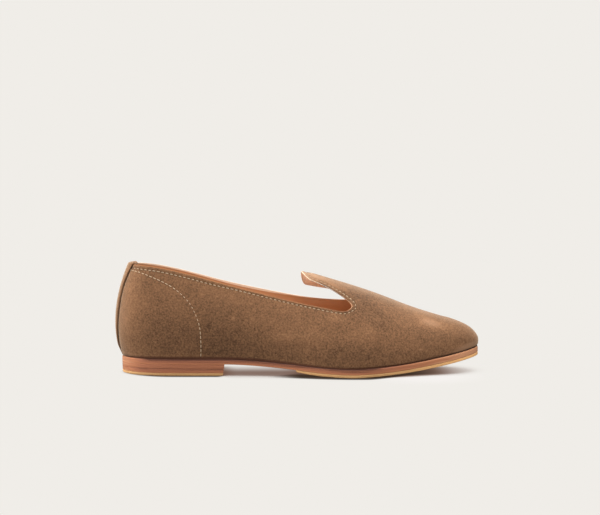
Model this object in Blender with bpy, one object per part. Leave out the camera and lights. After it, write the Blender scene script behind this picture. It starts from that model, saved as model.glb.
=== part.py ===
"""Suede slipper loafer for the right foot, each piece its own closed solid, in metres.

+X runs to the toe, -Y to the outer side of the foot, +Z up. The floor is Z = 0.
"""

from collections import namedtuple

import bpy
import numpy as np

MM = 0.001

# Driving sizes of the last and of the bottom
LENGTH = 266 * MM  # heel bulge to toe tip
BALL_WIDTH = 80 * MM  # feather line, across the ball
INSTEP_HEIGHT = 74.8 * MM  # floor to the tip of the tab
HEEL_SEAT = 12.3 * MM  # floor to the top of the sole under the heel
BALL_SEAT = 6.3 * MM  # floor to the top of the sole under the ball
TOE_SPRING = 12.3 * MM  # rise of the sole from the ball to the toe tip
SPRING_POWER = 1.75

GAP = 0.3 * MM  # clearance between pieces
WALL = 2.0 * MM  # suede and lining together
LASTING_MARGIN = 9 * MM  # upper turned in under the insole
INSOLE_THICKNESS = 2.4 * MM
OUTSOLE_THICKNESS = 3.3 * MM
HALF_SOLE_THICKNESS = 2.4 * MM
HALF_SOLE_EDGE = 1.3 * MM  # thickness at its step behind the ball
TOP_PIECE_THICKNESS = 2.0 * MM
LIFT_COUNT = 2
HEEL_TAPER = 0.985  # heel outline at the floor over its outline at the seat
SOLE_OVERHANG = 0.9 * MM  # sole edge beyond the feather line
STRIP_THICKNESS = 1.1 * MM
STRIP_TURN_IN = 0.1  # back strip inside the collar, as a share of the collar's height
STRIP_FOOT = 0.025  # where the back strip starts above the sole, as the same share

# Stations along the shoe
HEEL_CENTRE_X = -97 * MM
SEAT_END_X = -66 * MM  # the flat heel seat ends
BREAST_X = -54.3 * MM  # front face of the heel
HALF_SOLE_START_X = -3 * MM
TREAD_START_X = 24 * MM  # flat tread under the ball
TREAD_END_X = 38 * MM
TOE_X = 134 * MM

# One row per section of the last, heel to toe. Lengths and places along are per cent of LENGTH, widths across and
# leans per cent of BALL_WIDTH. "ridge" is where the section meets the ridge, "x" and "y" where it meets the feather
# line. A rib leaves the feather line leaning out by "lean", climbs "rise" of its height, and runs in under the ridge
# over "crown" of its width.
Section = namedtuple(
    "Section", "name ridge lat_x lat_y lat_lean lat_rise lat_crown med_x med_y med_lean med_rise med_crown"
)
LAST = (
    Section("heel_back", -36.5, -48.4, 0.0, 20.6, 0.37, 0.28, -48.4, 0.0, 20.6, 0.37, 0.28),
    Section("heel_turn", -36.5, -45.3, -21.3, 18.8, 0.37, 0.42, -45.3, 20.6, 18.8, 0.37, 0.42),
    Section("heel_side", -35.3, -38.3, -32.5, 10.6, 0.38, 0.47, -38.3, 31.3, 10.6, 0.38, 0.47),
    Section("heel_front", -28.2, -28.2, -34.4, 9.4, 0.42, 0.50, -28.2, 31.3, 9.4, 0.42, 0.50),
    Section("shank", -16.9, -16.9, -35.6, 8.8, 0.46, 0.55, -16.9, 29.4, 10.0, 0.46, 0.55),
    Section("waist", -4.5, -4.5, -40.0, 6.9, 0.50, 0.64, -4.5, 33.8, 8.8, 0.50, 0.58),
    Section("instep", 6.8, 6.8, -47.5, 4.4, 0.52, 0.70, 7.5, 43.1, 6.3, 0.52, 0.56),
    Section("ball", 18.0, 17.3, -50.0, 3.1, 0.52, 0.62, 19.5, 49.4, 3.1, 0.52, 0.56),
    Section("toe_root", 27.8, 27.4, -43.8, 3.1, 0.52, 0.60, 29.7, 43.1, 3.1, 0.52, 0.58),
    Section("toe_side", 35.3, 36.8, -32.5, 3.1, 0.52, 0.62, 38.0, 33.8, 3.1, 0.52, 0.62),
    Section("toe_turn", 39.6, 45.0, -19.4, 3.8, 0.54, 0.74, 45.2, 23.0, 3.8, 0.54, 0.74),
    Section("toe_tip", 41.0, 50.3, 2.5, 3.8, 0.57, 0.86, 50.3, 2.5, 3.8, 0.57, 0.86),
)
TIP = len(LAST) - 1
LOOP = 2 * TIP

# Ridge of the last: along in per cent of LENGTH, up of INSTEP_HEIGHT, across of BALL_WIDTH. Behind the tab it only
# guides the ribs, whose upper ends the collar cuts away.
Ridge = namedtuple("Ridge", "along up across")
RIDGE = (
    Ridge(-36.5, 151.9, 0.0),
    Ridge(-18.8, 129.8, 0.6),
    Ridge(-7.5, 112.4, 1.9),
    Ridge(1.1, 100.0, 3.8),
    Ridge(11.3, 89.3, 5.0),
    Ridge(22.6, 76.2, 5.0),
    Ridge(33.8, 61.6, 3.8),
    Ridge(37.6, 57.2, 3.1),
    Ridge(41.4, 53.2, 2.5),
)

# Cut edge of the collar, throat and tab on each side: a place on the last as section number and share of the way up
# its rib.
Edge = namedtuple("Edge", "name lat_section lat_up med_section med_up")
TOPLINE = (
    Edge("back", 0.0, 0.476, 0.0, 0.476),
    Edge("heel_turn", 1.0, 0.476, 1.0, 0.481),
    Edge("heel_side", 2.0, 0.486, 2.0, 0.487),
    Edge("quarter", 3.0, 0.473, 3.0, 0.471),
    Edge("shank", 4.0, 0.453, 4.0, 0.450),
    Edge("waist", 5.0, 0.461, 5.0, 0.472),
    Edge("instep", 5.85, 0.469, 5.85, 0.498),
    Edge("throat_floor", 6.41, 0.471, 6.41, 0.528),
    Edge("throat_low", 6.62, 0.510, 6.62, 0.558),
    Edge("throat_end", 6.71, 0.568, 6.71, 0.600),
    Edge("throat_high", 6.58, 0.626, 6.58, 0.634),
    Edge("tab_root", 6.23, 0.720, 6.23, 0.655),
    Edge("tab_side", 5.96, 0.770, 5.93, 0.648),
    Edge("tab_corner", 5.75, 0.788, 5.66, 0.636),
)
THROAT_END = [edge.name for edge in TOPLINE].index("throat_end")
TAB_TIP = 5.47
TAB_ROUND = 2.3  # power of the rounding of the tab's end
VAMP_LINE = 0.52  # share up the rib of the grid line that runs from the throat to the toe

# Half width of the back strip, in sections, by share of the height from sole to collar
STRIP_HALF_WIDTH = ((0.0, 0.42), (0.22, 0.47), (0.45, 0.57), (0.75, 0.61), (0.92, 0.76), (1.0, 0.86))

# A fold of the back strip: height as a share of the collar's, then how far its near and far faces stand out from the
# last and beyond the collar's edge
Fold = namedtuple("Fold", "share near_out near_up far_out far_up")

# Grid counts
HEEL_COLUMNS = 14
QUARTER_COLUMNS = 9
SLIT_COLUMNS = 10
VAMP_COLUMNS = 16
WALL_ROWS = 9
ARCH_ROWS = 14
SOLE_STATIONS = 48
STRIP_COLUMNS = 10
STRIP_ROWS = 12


def curve_through(knots, values):
    """Natural cubic spline through the knots, as a function of arrays."""
    knots = np.asarray(knots, float)
    values = np.asarray(values, float)
    steps = np.diff(knots)
    count = len(knots)
    matrix = np.eye(count)
    right = np.zeros(count)
    for i in range(1, count - 1):
        matrix[i, i - 1 : i + 2] = steps[i - 1], 2 * (steps[i - 1] + steps[i]), steps[i]
        right[i] = 6 * ((values[i + 1] - values[i]) / steps[i] - (values[i] - values[i - 1]) / steps[i - 1])
    bend = np.linalg.solve(matrix, right)

    def at(places):
        places = np.asarray(places, float)
        i = np.clip(np.searchsorted(knots, places) - 1, 0, count - 2)
        after = knots[i + 1] - places
        before = places - knots[i]
        step = steps[i]
        return (
            (bend[i] * after**3 + bend[i + 1] * before**3) / (6 * step)
            + (values[i] / step - bend[i] * step / 6) * after
            + (values[i + 1] / step - bend[i + 1] * step / 6) * before
        )

    return at


def loop_curve(column, scale=1.0):
    """A column of LAST as a closed curve: out along the lateral sections, round the toe, back along the medial ones."""
    pair = [column] if column == "ridge" else ["lat_" + column, "med_" + column]
    lateral = [getattr(row, pair[0]) * scale for row in LAST]
    medial = [getattr(row, pair[-1]) * scale for row in LAST]
    loop = lateral + medial[-2:0:-1]
    turns = np.concatenate([loop, loop, loop])
    return curve_through(np.arange(len(turns)) - len(loop), turns)


FEATHER_X = loop_curve("x", LENGTH / 100)
FEATHER_Y = loop_curve("y", BALL_WIDTH / 100)
LEAN = loop_curve("lean", BALL_WIDTH / 100)
RISE = loop_curve("rise")
CROWN = loop_curve("crown")
RIDGE_STATION = loop_curve("ridge", LENGTH / 100)
RIDGE_ALONG = [row.along * LENGTH / 100 for row in RIDGE]
RIDGE_UP = curve_through(RIDGE_ALONG, [row.up * INSTEP_HEIGHT / 100 for row in RIDGE])
RIDGE_ACROSS = curve_through(RIDGE_ALONG, [row.across * BALL_WIDTH / 100 for row in RIDGE])


def ridge_height(x):
    """Height of the ridge, carried on straight past its front end."""
    end = LAST[TIP].ridge * LENGTH / 100
    slope = (RIDGE_UP(end) - RIDGE_UP(end - MM)) / MM
    return RIDGE_UP(np.minimum(x, end)) + slope * np.maximum(x - end, 0)


def seat_height(x):
    """Top of the sole: flat heel seat, waist falling to the flat tread, then the toe spring."""
    fall = np.clip((x - SEAT_END_X) / (TREAD_START_X - SEAT_END_X), 0, 1)
    spring = np.clip((x - TREAD_END_X) / (TOE_X - TREAD_END_X), 0, None)
    drop = (HEEL_SEAT - BALL_SEAT) * fall * fall * (3 - 2 * fall)
    return HEEL_SEAT - drop + TOE_SPRING * spring**SPRING_POWER


def last_point(section, up):
    """Outer face of the upper: section counts round the loop, up runs from the feather line (0) to the ridge (1)."""
    section = np.mod(section, LOOP)
    foot_x = FEATHER_X(section)
    foot_y = FEATHER_Y(section)
    top_x = RIDGE_STATION(section)
    top_y = RIDGE_ACROSS(top_x)
    reach = np.hypot(foot_x - top_x, foot_y - top_y)
    down = 1 - up
    out = down**3 * reach + 3 * down**2 * up * (reach + LEAN(section)) + 3 * down * up**2 * CROWN(section) * reach
    x = top_x + (foot_x - top_x) / reach * out
    y = top_y + (foot_y - top_y) / reach * out
    depth = down**3 + 3 * down**2 * up * (1 - RISE(section))
    z = ridge_height(x) - depth * (ridge_height(foot_x) - seat_height(foot_x))
    return np.stack([x, y, z], -1)


def outward(section, up):
    """Unit normal of the last, and the unit direction up its rib."""
    step = 0.01
    along = last_point(section + step, up) - last_point(section - step, up)
    rise = last_point(section, up + step) - last_point(section, up - step)
    normal = np.cross(along, rise)
    return (
        normal / np.linalg.norm(normal, axis=-1, keepdims=True),
        rise / np.linalg.norm(rise, axis=-1, keepdims=True),
    )


def topline(side):
    """The cut edge of one side as two functions of section: the collar under the slit, and the tab's edge over it."""
    section = [getattr(edge, side + "_section") for edge in TOPLINE]
    up = [getattr(edge, side + "_up") for edge in TOPLINE]
    order = np.arange(len(TOPLINE))
    fine = np.linspace(0, order[-1], 400)
    split = np.searchsorted(fine, THROAT_END)
    sections = np.minimum(curve_through(order, section)(fine), section[THROAT_END])
    ups = curve_through(order, up)(fine)
    sections = np.insert(sections, split, section[THROAT_END])
    ups = np.insert(ups, split, up[THROAT_END])

    def collar(place):
        return np.interp(place, sections[: split + 1], ups[: split + 1])

    def tab(place):
        return np.interp(place, sections[split:][::-1], ups[split:][::-1])

    return collar, tab


def clustered(start, stop, count):
    """Places from start to stop, drawn together towards stop."""
    return start + (stop - start) * np.sin(np.linspace(0, np.pi / 2, count + 1))


def grid_faces(rows, columns, first=0, closed=False):
    """Quads of a grid whose vertices are stored row by row."""
    i, j = np.meshgrid(np.arange(rows - 1), np.arange(columns - (not closed)), indexing="ij")
    a = i * columns + j
    b = i * columns + (j + 1) % columns
    return (first + np.stack([a, b, b + columns, a + columns], -1).reshape(-1, 4)).tolist()


def material(name, colour, roughness):
    made = bpy.data.materials.new(name)
    made.use_nodes = True
    surface = made.node_tree.nodes["Principled BSDF"]
    surface.inputs["Base Color"].default_value = (*colour, 1)
    surface.inputs["Roughness"].default_value = roughness
    return made


def add_piece(name, points, faces, look):
    """One object of the given points and faces, doubled points joined, faces turned outwards."""
    mesh = bpy.data.meshes.new(name)
    mesh.from_pydata(np.asarray(points, float).tolist(), [], faces)
    mesh.materials.append(look)
    piece = bpy.data.objects.new(name, mesh)
    bpy.context.collection.objects.link(piece)
    weld = piece.modifiers.new("weld", "WELD")
    weld.merge_threshold = 0.002 * MM
    mesh.shade_smooth()
    return piece


def make_upper(look):
    """Hollow shell: a ring of wall from the lasting margin to the collar, and an arch over the foot from tab to toe."""
    slit_end = TOPLINE[THROAT_END].lat_section
    behind = np.concatenate(
        [
            np.linspace(0, 3, HEEL_COLUMNS, endpoint=False),
            np.linspace(3, TAB_TIP, QUARTER_COLUMNS, endpoint=False),
            clustered(TAB_TIP, slit_end, SLIT_COLUMNS),
        ]
    )
    front = np.linspace(slit_end, TIP, VAMP_COLUMNS + 1)[1:]
    edges = {side: topline(side) for side in ("lat", "med")}

    def wall_top(side):
        blend = (front - slit_end) / (TIP - slit_end)
        end = getattr(TOPLINE[THROAT_END], side + "_up")
        return np.concatenate([edges[side][0](behind), end + (VAMP_LINE - end) * blend])

    stations = np.concatenate([behind, front])
    section = np.concatenate([stations, LOOP - stations[-2:0:-1]])
    top = np.concatenate([wall_top("lat"), wall_top("med")[-2:0:-1]])
    share = np.linspace(0, 1, WALL_ROWS + 1)[:, None]
    wall = last_point(section + 0 * share, top * share)

    foot_x, foot_y = FEATHER_X(section), FEATHER_Y(section)
    in_x, in_y = RIDGE_STATION(section) - foot_x, RIDGE_ACROSS(RIDGE_STATION(section)) - foot_y
    reach = np.hypot(in_x, in_y)
    margin = []
    for inset in (LASTING_MARGIN, LASTING_MARGIN / 2, 0.6 * MM):
        x = foot_x + in_x / reach * inset
        margin.append(np.stack([x, foot_y + in_y / reach * inset, seat_height(x)], -1))
    ring = np.concatenate([margin, wall])
    ring[len(margin), :, 2] += 0.4 * MM

    across = np.linspace(-1, 1, ARCH_ROWS + 1)
    arch = []
    for side, half in (("lat", across[across <= 0]), ("med", across[across > 0])):
        corner = getattr(TOPLINE[-1], side + "_section")
        tab_up = edges[side][1]
        spread = np.abs(half)[:, None]
        end = corner - (corner - TAB_TIP) * (1 - spread**TAB_ROUND) ** (1 / TAB_ROUND)
        toward = clustered(0, 1, SLIT_COLUMNS)
        tab = end + (slit_end - end) * toward
        edge_up = tab_up(corner + (slit_end - corner) * toward)
        places = np.concatenate([tab, front + 0 * spread], axis=1)
        tops = np.concatenate([edge_up, wall_top(side)[len(behind) :]])
        turn = places if side == "lat" else LOOP - places
        arch.append(last_point(turn, 1 - (1 - tops) * spread))
    arch = np.concatenate(arch)

    rows, columns = ring.shape[:2]
    faces = grid_faces(rows, columns, closed=True)
    faces += grid_faces(*arch.shape[:2], first=rows * columns)
    points = np.concatenate([ring.reshape(-1, 3), arch.reshape(-1, 3)])
    upper = add_piece("upper", points, faces, look)
    shell = upper.modifiers.new("wall", "SOLIDIFY")
    shell.thickness = WALL
    shell.offset = -1
    shell.use_even_offset = True
    return upper


def sole_outline(outset):
    """Half widths of the feather line moved out by outset: places along, and the lateral and medial edges at them."""
    section = np.linspace(0, LOOP, 1201)
    line = np.stack([FEATHER_X(section % LOOP), FEATHER_Y(section % LOOP)], -1)
    run = np.gradient(line, axis=0)
    run[[0, -1]] = line[1] - line[-2]
    run /= np.linalg.norm(run, axis=1, keepdims=True)
    line = line + outset * np.stack([run[:, 1], -run[:, 0]], -1)
    toe = line[:, 0].argmax()
    heel_ends = line[:, 0].min() + 0.02 * MM, line[toe, 0] - 0.02 * MM

    def lateral(x):
        return np.interp(x, line[: toe + 1, 0], line[: toe + 1, 1])

    def medial(x):
        return np.interp(x, line[toe:, 0][::-1], line[toe:, 1][::-1])

    return heel_ends, lateral, medial


def make_layer(name, look, outset, start, stop, top, bottom, taper=1.0, stops=()):
    """A layer of the bottom, from start to stop along: its outline between the heights top(x) and bottom(x)."""
    (heel, toe), lateral, medial = sole_outline(outset)
    first = heel if start is None else start
    last = toe if stop is None else stop
    turn = np.linspace(0, np.pi, SOLE_STATIONS)
    x = np.unique(np.concatenate([first + (last - first) * (1 - np.cos(turn)) / 2, stops]))
    rings = []
    for height, scale in ((top, 1.0), (bottom, taper)):
        for edge in (lateral, medial):
            along = HEEL_CENTRE_X + (x - HEEL_CENTRE_X) * scale
            rings.append(np.stack([along, edge(x) * scale, height(x)], -1))
    lat_top, med_top, lat_low, med_low = rings
    points = np.stack([lat_top, lat_low, med_low, med_top], 1)
    count = len(x)
    faces = grid_faces(count, 4, closed=True) + [[3, 2, 1, 0], [4 * count - 4 + i for i in range(4)]]
    return add_piece(name, points.reshape(-1, 3), faces, look)


def make_bottom(looks):
    """Insole, outsole, half sole, stacked lifts and top piece, from the top down."""

    def under(depth):
        return lambda x: seat_height(x) - depth

    def flat(height):
        return lambda x: np.full_like(x, height)

    tread = (TREAD_START_X, TREAD_END_X)
    make_layer(
        "insole",
        looks["board"],
        -(WALL + 3 * GAP),
        None,
        None,
        under(-(WALL + GAP + INSOLE_THICKNESS)),
        under(-(WALL + GAP)),
        stops=tread,
    )
    low = GAP + OUTSOLE_THICKNESS
    make_layer(
        "outsole", looks["leather"], SOLE_OVERHANG, None, None, under(GAP), under(low), stops=(*tread, SEAT_END_X)
    )

    def half_sole_bottom(x):
        grown = np.clip((x - HALF_SOLE_START_X) / (TREAD_START_X - HALF_SOLE_START_X), 0, 1)
        thickness = HALF_SOLE_EDGE + (HALF_SOLE_THICKNESS - HALF_SOLE_EDGE) * grown
        return seat_height(x) - low - GAP - thickness

    make_layer(
        "half_sole",
        looks["rubber"],
        SOLE_OVERHANG,
        HALF_SOLE_START_X,
        None,
        under(low + GAP),
        half_sole_bottom,
        stops=tread,
    )
    stack_top = HEEL_SEAT - low - GAP
    lift = (stack_top - TOP_PIECE_THICKNESS - LIFT_COUNT * GAP) / LIFT_COUNT
    heights = [(stack_top - i * (lift + GAP), stack_top - i * (lift + GAP) - lift) for i in range(LIFT_COUNT)]
    heights.append((TOP_PIECE_THICKNESS, 0.0))
    for i, (upper_face, lower_face) in enumerate(heights):
        is_top_piece = i == LIFT_COUNT
        make_layer(
            "heel_top_piece" if is_top_piece else f"heel_lift_{i + 1}",
            looks["rubber" if is_top_piece else "leather"],
            SOLE_OVERHANG - i * 0.15 * MM,
            None,
            BREAST_X - i * 0.5 * MM,
            flat(upper_face) if i else under(low + GAP),
            flat(lower_face),
            taper=HEEL_TAPER ** (1 / len(heights)),
        )


def make_back_strip(look):
    """Strip over the back seam: up the outside, over the collar's edge and down the inside, cut from the last."""
    outer = GAP + STRIP_THICKNESS
    inner = -(WALL + GAP)
    path = [Fold(share, GAP, 0, outer, 0) for share in np.linspace(STRIP_FOOT, 1, STRIP_ROWS)]
    path += [
        Fold(1, GAP, GAP, outer, 0.6 * outer),
        Fold(1, -WALL / 2, GAP, -WALL / 2, outer),
        Fold(1, inner, GAP, inner - STRIP_THICKNESS, 0.6 * outer),
    ]
    path += [Fold(1 - STRIP_TURN_IN * s, inner, 0, inner - STRIP_THICKNESS, 0) for s in (0, 0.5, 1)]
    across = np.linspace(-1, 1, STRIP_COLUMNS + 1)
    shares, halves = zip(*STRIP_HALF_WIDTH)
    collar = {side: topline(side)[0] for side in ("lat", "med")}
    near, far = [], []
    for fold in path:
        section = across * np.interp(fold.share, shares, halves)
        up = fold.share * np.where(section < 0, collar["med"](-section), collar["lat"](section))
        normal, rise = outward(section, up)
        base = last_point(section, up)
        near.append(base + normal * fold.near_out + rise * fold.near_up)
        far.append(base + normal * fold.far_out + rise * fold.far_up)
    rows, columns = len(path), len(across)
    faces = grid_faces(rows, columns, first=rows * columns)
    faces += [face[::-1] for face in grid_faces(rows, columns)]
    index = np.arange(rows * columns).reshape(rows, columns)
    rim = np.concatenate([index[0, :-1], index[:-1, -1], index[-1, :0:-1], index[:0:-1, 0]])
    for a, b in zip(rim, np.roll(rim, -1)):
        faces.append([int(a), int(b), int(b) + rows * columns, int(a) + rows * columns])
    return add_piece("back_strip", np.concatenate(near + far), faces, look)


def centre_on_floor():
    """Moves every mesh so that the shoe's box has its middle over the origin and its underside on the floor."""
    points = np.array([v.co for piece in bpy.data.objects for v in piece.data.vertices])
    low, high = points.min(axis=0), points.max(axis=0)
    shift = [-(low[0] + high[0]) / 2, -(low[1] + high[1]) / 2, -low[2]]
    for piece in bpy.data.objects:
        moved = np.array([v.co for v in piece.data.vertices]) + shift
        piece.data.vertices.foreach_set("co", moved.ravel())


def main():
    for leftover in list(bpy.data.objects):
        bpy.data.objects.remove(leftover, do_unlink=True)
    suede = material("suede", (0.20, 0.115, 0.062), 0.9)
    looks = {
        "leather": material("sole_leather", (0.33, 0.13, 0.066), 0.5),
        "rubber": material("rubber", (0.55, 0.36, 0.15), 0.7),
        "board": material("insole_leather", (0.42, 0.18, 0.08), 0.7),
    }
    make_upper(suede)
    make_back_strip(suede)
    make_bottom(looks)
    centre_on_floor()


main()
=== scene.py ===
from collections import namedtuple

import bpy
import numpy as np
from mathutils import Matrix


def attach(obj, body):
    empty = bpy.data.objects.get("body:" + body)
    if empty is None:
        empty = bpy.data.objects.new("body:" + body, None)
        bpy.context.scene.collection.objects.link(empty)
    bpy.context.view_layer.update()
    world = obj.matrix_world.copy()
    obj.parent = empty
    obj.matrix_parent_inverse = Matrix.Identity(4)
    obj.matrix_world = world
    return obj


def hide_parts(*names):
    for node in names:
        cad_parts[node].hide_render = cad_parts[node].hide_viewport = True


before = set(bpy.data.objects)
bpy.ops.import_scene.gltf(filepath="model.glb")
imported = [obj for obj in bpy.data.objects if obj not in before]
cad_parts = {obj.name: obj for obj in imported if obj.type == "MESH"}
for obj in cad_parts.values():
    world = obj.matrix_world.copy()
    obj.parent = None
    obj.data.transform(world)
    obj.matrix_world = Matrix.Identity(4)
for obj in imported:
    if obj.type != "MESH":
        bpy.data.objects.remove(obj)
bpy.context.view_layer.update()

bl_info = {
    "name": "Suede slipper loafer",
    "version": (1, 0, 0),
    "blender": (4, 5, 0),
    "location": "3D View > Sidebar > Loafer",
    "description": "Dresses the solids of a suede slipper loafer in suede, lining, thread and sole leather",
    "category": "Object",
}

MM = 0.001

# Sizes of the last and the bottom. Cut edges and the sole's run follow the picture to the millimetre,
# and lie within two of the solids'.
LENGTH = 266 * MM
BALL_WIDTH = 80 * MM
INSTEP_HEIGHT = 74.8 * MM
HEEL_SEAT = 12.3 * MM
BALL_SEAT = 6.28 * MM
TOE_SPRING = 12.7 * MM
SPRING_POWER = 1.6
GAP = 0.3 * MM
WALL = 2.0 * MM
LASTING_MARGIN = 9 * MM
LASTING_ROWS = (LASTING_MARGIN, LASTING_MARGIN / 2, 2 * MM, 1.2 * MM)  # in from the feather line
INSOLE_THICKNESS = 2.4 * MM
OUTSOLE_THICKNESS = 3.3 * MM
HALF_SOLE_THICKNESS = 2.4 * MM
HALF_SOLE_EDGE = 1.4 * MM
HALF_SOLE_TOE = 0.35 * MM  # thicker by this under the toe
SEAM_DROP = 0.4 * MM  # how far the seam above the rubber falls along the forepart
TOE_SEAM_DROP = 0.25 * MM  # and more towards the toe
HAIRLINE = 0.04 * MM  # joint left between two layers of the bottom
LEATHER_GAP = 0.05 * MM  # left between two skins of leather
OUTSOLE_LOW_ROUND = 0.3 * MM  # rounding of its lower edge
HALF_SOLE_ROUND = (0.15 * MM, 0.45 * MM)  # rounding of the upper and the lower edge
TOP_PIECE_LOW_ROUND = 0.8 * MM
SOCK_ROUND = (0.7 * MM, 0.2 * MM)
SOCK_INSET = 0.25 * MM  # inside the wall
TOP_PIECE_THICKNESS = 2.0 * MM
LIFT_COUNT = 2
HEEL_TAPER = 0.978
SOLE_OVERHANG = 0.3 * MM
STRIP_THICKNESS = 1.1 * MM
STRIP_TURN_IN = 0.1
FOOT_UP = 0.004  # share up the rib where the wall starts
HEEL_CENTRE_X = -115 * MM
SEAT_END_X = -55 * MM
FALL_END_X = 40 * MM
BREAST_X = -54.3 * MM
HALF_SOLE_START_X = -3 * MM
SEAM_FALL_END_X = 6 * MM
SEAM_STEP_END_X = 12 * MM
TREAD_START_X = 24 * MM
SPRING_START_X = 36 * MM
TOE_SEAM_X = (45 * MM, 100 * MM)  # from where to where the seam falls again
TOE_RUBBER_X = (60 * MM, 90 * MM)  # from where to where the rubber thickens
TOE_X = 134 * MM
SHIFT = np.array([-0.27659, 0.32485, 0.0]) * MM  # from the last's own frame to the row frame

# How leather is worked
SKIVED_SHARE = 0.55  # of the thickness, pared away at a cut edge
SKIVED_REACH = 3 * MM
SEAM_REACH = 0.75 * MM  # to either side of a stitch row or groove
PUFF = 0.12 * MM  # swelling between the topline's row and the cut edge
SWAY = 0.12 * MM  # slow waves of the whole surface
STRIP_ROLL = 0.45 * MM  # how far the back strip's sides roll in
# How much lighter the back strip's suede is drawn, partly its own tone and partly painted light
STRIP_NAP_AND_LIGHT = 0.18
COUNTER_PULL = 0.8  # depth of the counter's row, of the topline's
FRONT_ROW_CLOSER = 0.32  # of the stitch inset, along the front of the collar
RIM_FADES = 3.2  # how many fades from the cut edge the lining's pale rim ends
CLEAR_OF_STRIP = 0.10  # sections between the back strip and the first stitch
STITCH_NARROWING = 0.93  # of its ends
STITCH_DIP = 0.9  # of its ends, in half widths of the thread
STITCH_PROUD = 0.25  # of its middle, in half widths of the thread

# Grids
SIDES = ("lat", "med")
SHELL_COUNTS = {"heel": 84, "quarter": 56, "slit": 40, "vamp": 84, "wall": 44, "arch": 26}
LINING_DENSITY = 0.62  # of the suede's grid
SHARP_ANGLE = 50  # degrees, above which an edge is crisp

# Sections of the last, heel to toe: places in per cent of LENGTH, widths and leans of BALL_WIDTH
Section = namedtuple(
    "Section", "name ridge lat_x lat_y lat_lean lat_rise lat_crown med_x med_y med_lean med_rise med_crown"
)
LAST = (
    Section("heel_back", -36.5, -48.4, 0.0, 20.6, 0.37, 0.28, -48.4, 0.0, 20.6, 0.37, 0.28),
    Section("heel_turn", -36.5, -45.3, -21.3, 18.8, 0.37, 0.42, -45.3, 20.6, 18.8, 0.37, 0.42),
    Section("heel_side", -35.3, -38.3, -32.5, 10.6, 0.38, 0.47, -38.3, 31.3, 10.6, 0.38, 0.47),
    Section("heel_front", -28.2, -28.2, -34.4, 9.4, 0.42, 0.50, -28.2, 31.3, 9.4, 0.42, 0.50),
    Section("shank", -16.9, -16.9, -35.6, 8.8, 0.46, 0.55, -16.9, 29.4, 10.0, 0.46, 0.55),
    Section("waist", -4.5, -4.5, -40.0, 6.9, 0.50, 0.64, -4.5, 33.8, 8.8, 0.50, 0.58),
    Section("instep", 6.8, 6.8, -47.5, 4.4, 0.52, 0.70, 7.5, 43.1, 6.3, 0.52, 0.56),
    Section("ball", 18.0, 17.3, -50.0, 3.1, 0.52, 0.62, 19.5, 49.4, 3.1, 0.52, 0.56),
    Section("toe_root", 27.8, 27.4, -43.8, 3.1, 0.52, 0.60, 29.7, 43.1, 3.1, 0.52, 0.58),
    Section("toe_side", 35.3, 36.8, -32.5, 3.1, 0.52, 0.62, 38.0, 33.8, 3.1, 0.52, 0.62),
    Section("toe_turn", 39.6, 45.0, -19.4, 3.8, 0.54, 0.74, 45.2, 23.0, 3.8, 0.54, 0.74),
    Section("toe_tip", 41.0, 50.1, 2.5, 3.8, 0.57, 0.86, 50.1, 2.5, 3.8, 0.57, 0.86),
)
TIP = len(LAST) - 1
LOOP = 2 * TIP

# Ridge of the last: along in per cent of LENGTH, up of INSTEP_HEIGHT, across of BALL_WIDTH
Ridge = namedtuple("Ridge", "along up across")
RIDGE = (
    Ridge(-36.5, 151.9, 0.0),
    Ridge(-18.8, 129.8, 0.6),
    Ridge(-7.5, 112.4, 1.9),
    Ridge(1.1, 100.0, 3.8),
    Ridge(11.3, 88.9, 5.0),
    Ridge(22.6, 75.6, 5.0),
    Ridge(33.8, 61.0, 3.8),
    Ridge(37.6, 56.8, 3.1),
    Ridge(41.4, 53.2, 2.5),
)

# Cut edge of collar, throat and tab: section number and share of the way up its rib
Edge = namedtuple("Edge", "name lat_section lat_up med_section med_up")
TOPLINE = (
    Edge("back", 0.0, 0.476, 0.0, 0.476),
    Edge("heel_turn", 1.0, 0.486, 1.0, 0.484),
    Edge("heel_side", 2.0, 0.4935, 2.0, 0.489),
    Edge("quarter", 3.0, 0.475, 3.0, 0.469),
    Edge("shank", 4.0, 0.4545, 4.0, 0.451),
    Edge("waist", 5.0, 0.461, 5.0, 0.472),
    Edge("instep", 5.85, 0.475, 5.85, 0.506),
    Edge("throat_floor", 6.39, 0.482, 6.39, 0.546),
    Edge("throat_low", 6.59, 0.517, 6.59, 0.574),
    Edge("throat_end", 6.67, 0.567, 6.67, 0.604),
    Edge("throat_high", 6.55, 0.630, 6.55, 0.634),
    Edge("tab_root", 6.22, 0.709, 6.22, 0.672),
    Edge("tab_side", 5.96, 0.754, 5.93, 0.662),
    Edge("tab_corner", 5.75, 0.776, 5.58, 0.645),
)
THROAT_END = [edge.name for edge in TOPLINE].index("throat_end")
TAB_TIP = 5.479
# Turn of the tab's end, in sections, and power of its rounding
TAB_END = {"lat": (0.02, 2.2), "med": (-0.045, 2.1)}
TAB_BEND = 1.3 * MM  # how far the tab's end dips below the ridge
TAB_BEND_REACH = 0.2  # sections
TAB_BEND_FROM = 0.62  # share up the rib
VAMP_LINE = 0.52

# Half width of the back strip, in sections, by share of the height from sole to collar
STRIP_HALF_WIDTH = (
    (0.0, 0.10),
    (0.15, 0.17),
    (0.21, 0.23),
    (0.28, 0.29),
    (0.38, 0.345),
    (0.54, 0.41),
    (0.75, 0.46),
    (0.92, 0.62),
    (1.0, 0.74),
)

# Stitch row that holds the heel counter: section and share up the rib, the same on both sides
Place = namedtuple("Place", "section up")
COUNTER_ROW = (
    Place(0.40, 0.448),
    Place(1.05, 0.450),
    Place(1.42, 0.446),
    Place(1.87, 0.431),
    Place(2.27, 0.406),
    Place(2.56, 0.373),
    Place(2.80, 0.327),
    Place(2.95, 0.276),
    Place(3.07, 0.210),
    Place(3.12, 0.136),
    Place(3.13, 0.054),
    Place(3.125, 0.012),
)

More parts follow.
